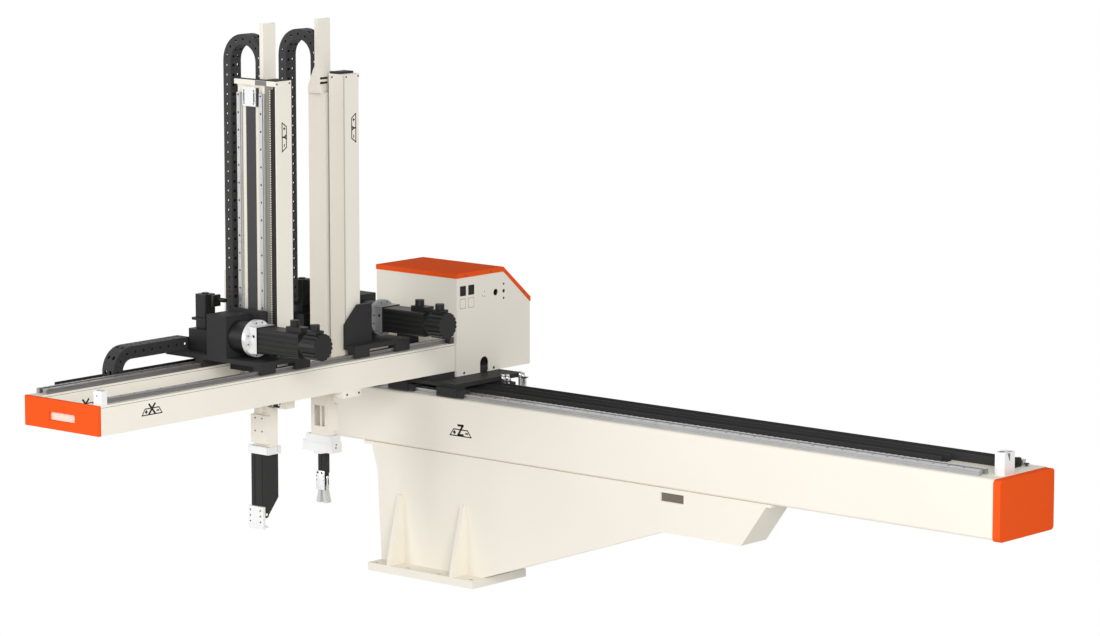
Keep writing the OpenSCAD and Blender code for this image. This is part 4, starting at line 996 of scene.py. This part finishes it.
# First stages: face of the covers, the left end of their caps, and the ends of the cover screws' rows
COVER_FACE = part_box("main_stage_cover")[1].x - 0.002
COVER_LEFT = ARM_X + 0.0555
SCREW_TOP_Z, SCREW_LOW_Z = 1.7790, 0.6920
STRIP_LOW, STRIP_HIGH = (-0.1188, -0.7445, 0.6790), (-0.0925, -0.7390, 1.7600)
STRIP_STEP = 0.0080


def main_stage_details():
    """Screws, top insert, clamp plate details with painted shade in its slots and on a side plate, toothed strip
    and top sheets of the main stage.
    """
    body = "main_stage"
    low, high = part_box("main_stage_cover")
    spots = ((-0.7398, SCREW_TOP_Z), (-0.6793, SCREW_TOP_Z), (-0.7398, SCREW_LOW_Z))
    add_screws("main_cover_screws", body, RIGHT, COVER_FACE, spots, SMALL_HEAD, material=HOLE_GREY)
    insert = soft_block((-0.1845, low.y - INLAY, 1.7712), (-0.1310, low.y + ROOT, high.z - 0.0004), 0.0004)
    settle(insert, "main_top_insert", "aluminium", body, INSERT_GREY_AND_SLOT_SHADE)

    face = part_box("main_lift_belt")[0].y
    spots = [(x, z) for x in (-0.2365, -0.1912) for z in (1.7515, 1.7075)]
    add_holes("main_clamp_holes", body, FRONT, face, spots, 0.0030, "aluminium", HOLE_GREY)
    # The clamp's slots are painted black as their shade
    slots = [soft_block((left, face - INLAY, 1.7135), (left + 0.0058, face + ROOT, 1.7440), 0.0012)
             for left in (-0.2392, -0.1928)]
    # A side plate that lies in shadow, painted black as painted shade
    slots.append(add_block((-0.1800, face + 0.001, 1.6985), (-0.1712, face + 0.006, 1.7620)))
    settle(join(slots), "main_clamp_slots_and_shaded_side_plate", "dark_steel", body, SCREW_BLACK_AND_SHADE)

    settle(soft_block(STRIP_LOW, STRIP_HIGH, 0.0008), "main_toothed_strip", "belt_rubber", body, STRIP_BLACK)
    left, front, bottom = STRIP_LOW
    tooth = soft_block((left - 0.0026, front - 0.0004, 0), (left + 0.0022, -0.7400, 0.0038), 0.0004)
    heights = steps(bottom + 0.002, STRIP_HIGH[2] - 0.006, STRIP_STEP)
    teeth = repeat(tooth, [Matrix.Translation((0, 0, z)) for z in heights])
    settle(teeth, "main_strip_teeth", "cream_paint", body)

    root, top = high.z - 0.001, high.z + 0.0020
    back = soft_block((COVER_LEFT, low.y + 0.004, root), (high.x - 0.004, high.y - 0.004, top), 0.0008, 2)
    front = soft_block((low.x + 0.004, low.y + 0.004, root), (COVER_LEFT, low.y + 0.024, top), 0.0008, 2)
    settle(join([back, front]), "main_top_sheets", "black_paint", body)


def sub_stage_details():
    """Top sheet, a strip of painted shade along the bend line, a dark strip of painted shade in the gap beside the
    cover, and screws of the sub stage.
    """
    body = "sub_stage"
    low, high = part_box("sub_stage_cover")
    sheet = soft_block((COVER_LEFT, low.y + 0.004, high.z - 0.001),
                       (high.x - 0.025, high.y - 0.003, high.z + 0.0070), 0.0008, 2)
    settle(sheet, "sub_top_sheet", "black_paint", body)
    # A strip of painted shade along the cover's bend, partly a real seam
    line = soft_block((COVER_FACE - ROOT, low.y + 0.0016, low.z + 0.004),
                      (COVER_FACE + FLUSH, low.y + 0.0066, high.z - 0.004), 0.0001)
    settle(line, "sub_cover_bend_line_shade", "cream_paint", body, SEAM_SHADE)
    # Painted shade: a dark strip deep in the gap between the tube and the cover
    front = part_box("sub_stage_profile")[0].y
    gap_shade_strip = soft_block((COVER_LEFT - 0.0145, front - 0.0012, 0.680),
                      (COVER_LEFT - 0.001, front + ROOT, 1.7600), 0.0004)
    settle(gap_shade_strip, "sub_stage_gap_painted_shade", "black_paint", body, STRIP_BLACK)
    spots = ((-0.4018, SCREW_TOP_Z), (-0.3430, SCREW_TOP_Z), (-0.3430, SCREW_LOW_Z))
    add_screws("sub_cover_side_screws", body, RIGHT, COVER_FACE, spots, SMALL_HEAD, material=HOLE_GREY)
    spots = ((-0.1440, 1.7760), (-0.1440, SCREW_LOW_Z))
    add_screws("sub_cover_front_screws", body, FRONT, low.y + ROOT, spots, SMALL_HEAD, material=HOLE_GREY)


main_stage_details()
sub_stage_details()


def main_tool_details():
    """Screws of the nose, seam of the clamp, grooves and pivot of the wrist, holes of the tool plate."""
    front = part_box("main_tube")[0].y
    spots = [(x, z) for x in (-0.2310, -0.1987) for z in (0.6262, 0.5814)]
    add_screws("main_nose_screws", "main_arm", FRONT, front, spots, FINE_HEAD, material=HOLE_GREY)
    low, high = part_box("main_wrist_clamp")
    seam = soft_block((high.x - 0.0042, low.y - FLUSH, low.z),
                      (high.x - 0.0030, low.y + 0.004, high.z), 0.0001)
    settle(seam, "main_clamp_seam", "aluminium", "main_arm", HOLE_GREY)
    low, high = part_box("main_wrist_housing")
    # The wrist's grooves are flat black strips: painted shade
    grooves = [soft_block((left, low.y - FLUSH, 0.3260), (left + 0.0044, low.y + ROOT, 0.5025), 0.0001)
               for left in (-0.2302, -0.1945)]
    settle(join(grooves), "main_wrist_grooves", "black_paint", "main_arm", SWITCH_BLACK_AND_GROOVE_SHADE)
    add_holes("main_wrist_pivot", "main_arm", RIGHT, high.x, ((-0.7062, 0.2996),), 0.0046, "black_paint")
    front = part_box("main_tool_plate")[0].y
    spots = [(x, z) for x in (-0.2424, -0.1938) for z in (0.3092, 0.2891, 0.2690)]
    add_holes("main_tool_holes", "main_tool", FRONT, front, spots, 0.0030, "aluminium", HOLE_GREY)


def sub_gripper_details():
    """Face plate, pins, lever and mount holes of the sprue gripper."""
    body = "sub_arm"
    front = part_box("sub_gripper_body")[0].y
    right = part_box("sub_gripper_body")[1].x
    face = front - 0.0016
    plate = soft_block((-0.2455, face, 0.3300), (-0.2062, front + 0.001, 0.3975), 0.0008, 2)
    settle(plate, "gripper_face_plate", "aluminium", body)
    spots = ((-0.2375, 0.3905), (-0.2180, 0.3900))
    add_holes("gripper_face_holes", body, FRONT, face, spots, 0.0040, "black_paint")
    spots = [(x, z) for x in (-0.2420, -0.2112) for z in (0.3780, 0.3633)]
    add_screws("gripper_face_screws", body, FRONT, face, spots, 0.0017, material=HOLE_GREY)
    spots = ((-0.2268, 0.3524), (-0.2336, 0.3394), (-0.2189, 0.3400))
    add_screws("gripper_link_pins", body, FRONT, face, spots, SMALL_HEAD, "steel", CHROME)
    knob_y, knob_z = -0.3915, 0.3745
    lever = soft_block((right, -0.3955, 0.3400), (right + 0.0026, -0.3880, knob_z), 0.0010, 2)
    knob = soft_rod((right, knob_y, knob_z), (right + 0.0040, knob_y, knob_z), 0.0062, 0.0009)
    settle(join([lever, knob]), "gripper_lever", "steel", body, CHROME)
    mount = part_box("sub_gripper_mount")[1].x
    spots = ((-0.3955, 0.4955), (-0.3976, 0.4850))
    add_holes("gripper_mount_holes", body, RIGHT, mount, spots, 0.0032, "black_paint")


def copy_node(name):
    """A copy of a CAD node with its loose triangles merged."""
    piece = new_object(name + "_copy", NODES[name].data.copy())
    take(piece)
    bpy.ops.object.mode_set(mode="EDIT")
    bpy.ops.mesh.select_all(action="SELECT")
    bpy.ops.mesh.remove_doubles(threshold=0.00001)
    leave_edit()
    bpy.ops.mesh.customdata_custom_splitnormals_clear()
    return piece


def add_prism(corners, low_y, high_y):
    """A prism along Y over corners given as x and z."""
    bpy.ops.object.select_all(action="DESELECT")
    mesh = bpy.data.meshes.new("prism")
    shape = bmesh.new()
    face = shape.faces.new([shape.verts.new((x, low_y, z)) for x, z in corners])
    swept = bmesh.ops.extrude_face_region(shape, geom=[face])
    moved = [part for part in swept["geom"] if isinstance(part, bmesh.types.BMVert)]
    bmesh.ops.translate(shape, verts=moved, vec=(0, high_y - low_y, 0))
    bmesh.ops.recalc_face_normals(shape, faces=shape.faces)
    shape.to_mesh(mesh)
    shape.free()
    return new_object("prism", mesh)


def sub_drive_housing():
    """The sub arm's housing with its side plate cut back clear of the bright ring."""
    housing = copy_node("sub_drive_housing")
    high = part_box("sub_drive_housing")[1]
    plate_x = high.x - 0.0142
    beyond = high + Vector((0.001, 0.001, 0.001))
    cut(housing, add_block((plate_x, -0.306, SADDLE_TOP + 0.0005), beyond))
    cut(housing, add_block((plate_x, -0.500, 0.9920), beyond))
    settle(housing, "sub_housing_trimmed", "black_paint", "sub_saddle")
    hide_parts("sub_drive_housing")
    spots = ((-0.3175, 0.979), (-0.3175, 0.957))
    add_screws("sub_plate_screws", "sub_saddle", RIGHT, high.x, spots, SMALL_HEAD)


# The post's folded web: x of its edges and heights above the tube's top
POST_LEFT, POST_RIGHT = -0.2360, -0.1650
SLOPE_FOOT = (POST_LEFT, TUBE_TOP + 0.019)
SLOPE_TOP = (-0.2125, TUBE_TOP + 0.075)


def sub_post_web():
    """The sub arm's tube with the front web of its post trimmed above the tube."""
    tube = copy_node("sub_tube")
    low_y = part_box("sub_tube")[0].y
    outer, bottom, foot, top = -0.2600, TUBE_TOP - 0.060, TUBE_TOP - 0.002, TUBE_TOP + 0.090
    corners = [(outer, bottom), (POST_RIGHT, bottom), (POST_RIGHT, foot), (POST_LEFT, foot), SLOPE_FOOT,
               SLOPE_TOP, (SLOPE_TOP[0], top), (outer, top)]
    cut(tube, add_prism(corners, low_y - 0.002, TUBE_FACE + 0.0003))
    fold, web_top = -0.1890, TUBE_TOP + 0.092
    corners = [(-0.2245, TUBE_TOP + 0.046), (fold, TUBE_TOP + 0.060), (fold, web_top), (-0.2030, web_top),
               SLOPE_TOP]
    web = soften(add_prism(corners, low_y + 0.0002, low_y + 0.0028), 0.0004)
    settle(web, "sub_post_web", "cream_paint", "sub_arm")
    pin_y, pin_z = TUBE_FACE + 0.020, TUBE_TOP + 0.010
    pin = soft_rod((-0.2700, pin_y, pin_z), (-0.2500, pin_y, pin_z), 0.0012, 0.0002, 8)
    settle(pin, "sub_post_pin", "dark_steel", "sub_arm", SCREW_BLACK_AND_SHADE)
    settle(tube, "sub_tube_trimmed", "cream_paint", "sub_arm")
    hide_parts("sub_tube")


main_tool_details()
sub_gripper_details()
sub_drive_housing()
sub_post_web()


def make_camera():
    camera = new_object("camera", bpy.data.cameras.new("camera"))
    camera.location = CAMERA_PLACE
    camera.rotation_euler = CAMERA_TURN
    camera.data.lens = CAMERA_LENS
    camera.data.clip_end = 60
    bpy.context.scene.camera = camera


def make_lamp(name, place, aim, size, power):
    lamp = new_object(name, bpy.data.lights.new(name, "AREA"))
    lamp.location = place
    lamp.rotation_euler = (Vector(aim) - Vector(place)).to_track_quat("-Z", "Y").to_euler()
    lamp.data.size = size
    lamp.data.energy = power


def make_world():
    """Soft, slightly cool light from all sides, seen as white."""
    world = bpy.data.worlds.new("studio")
    bpy.context.scene.world = world
    nodes = Nodes(world)
    soft = nodes.tree.nodes["Background"]
    soft.inputs["Color"].default_value = (0.985, 0.99, 1, 1)
    soft.inputs["Strength"].default_value = 0.40
    white = nodes.add("ShaderNodeBackground", inputs={"Color": (1, 1, 1, 1)})
    nodes.hide_behind_white(soft, white, "World Output")


def make_floor():
    """A pale floor a metre below the base, seen as white."""
    bpy.ops.mesh.primitive_plane_add(size=30, location=(0, 0, -1.0))
    floor = bpy.context.object
    floor.name = "studio_floor"
    material = bpy.data.materials.new("studio_floor")
    nodes = Nodes(material)
    pale = nodes.tree.nodes["Principled BSDF"]
    pale.inputs["Base Color"].default_value = (0.8, 0.8, 0.8, 1)
    pale.inputs["Roughness"].default_value = 0.9
    nodes.hide_behind_white(pale, nodes.add("ShaderNodeEmission"), "Material Output")
    floor.data.materials.append(material)


bpy.context.scene.view_settings.view_transform = "Standard"
make_camera()
make_world()
make_lamp("key", place=(6.1, -5.3, 3.3), aim=(0.3, -0.4, 0.8), size=4.0, power=370)
make_lamp("fill", place=(-3.1, -6.4, 2.0), aim=(0.0, -0.4, 0.8), size=3.0, power=132)
make_floor()
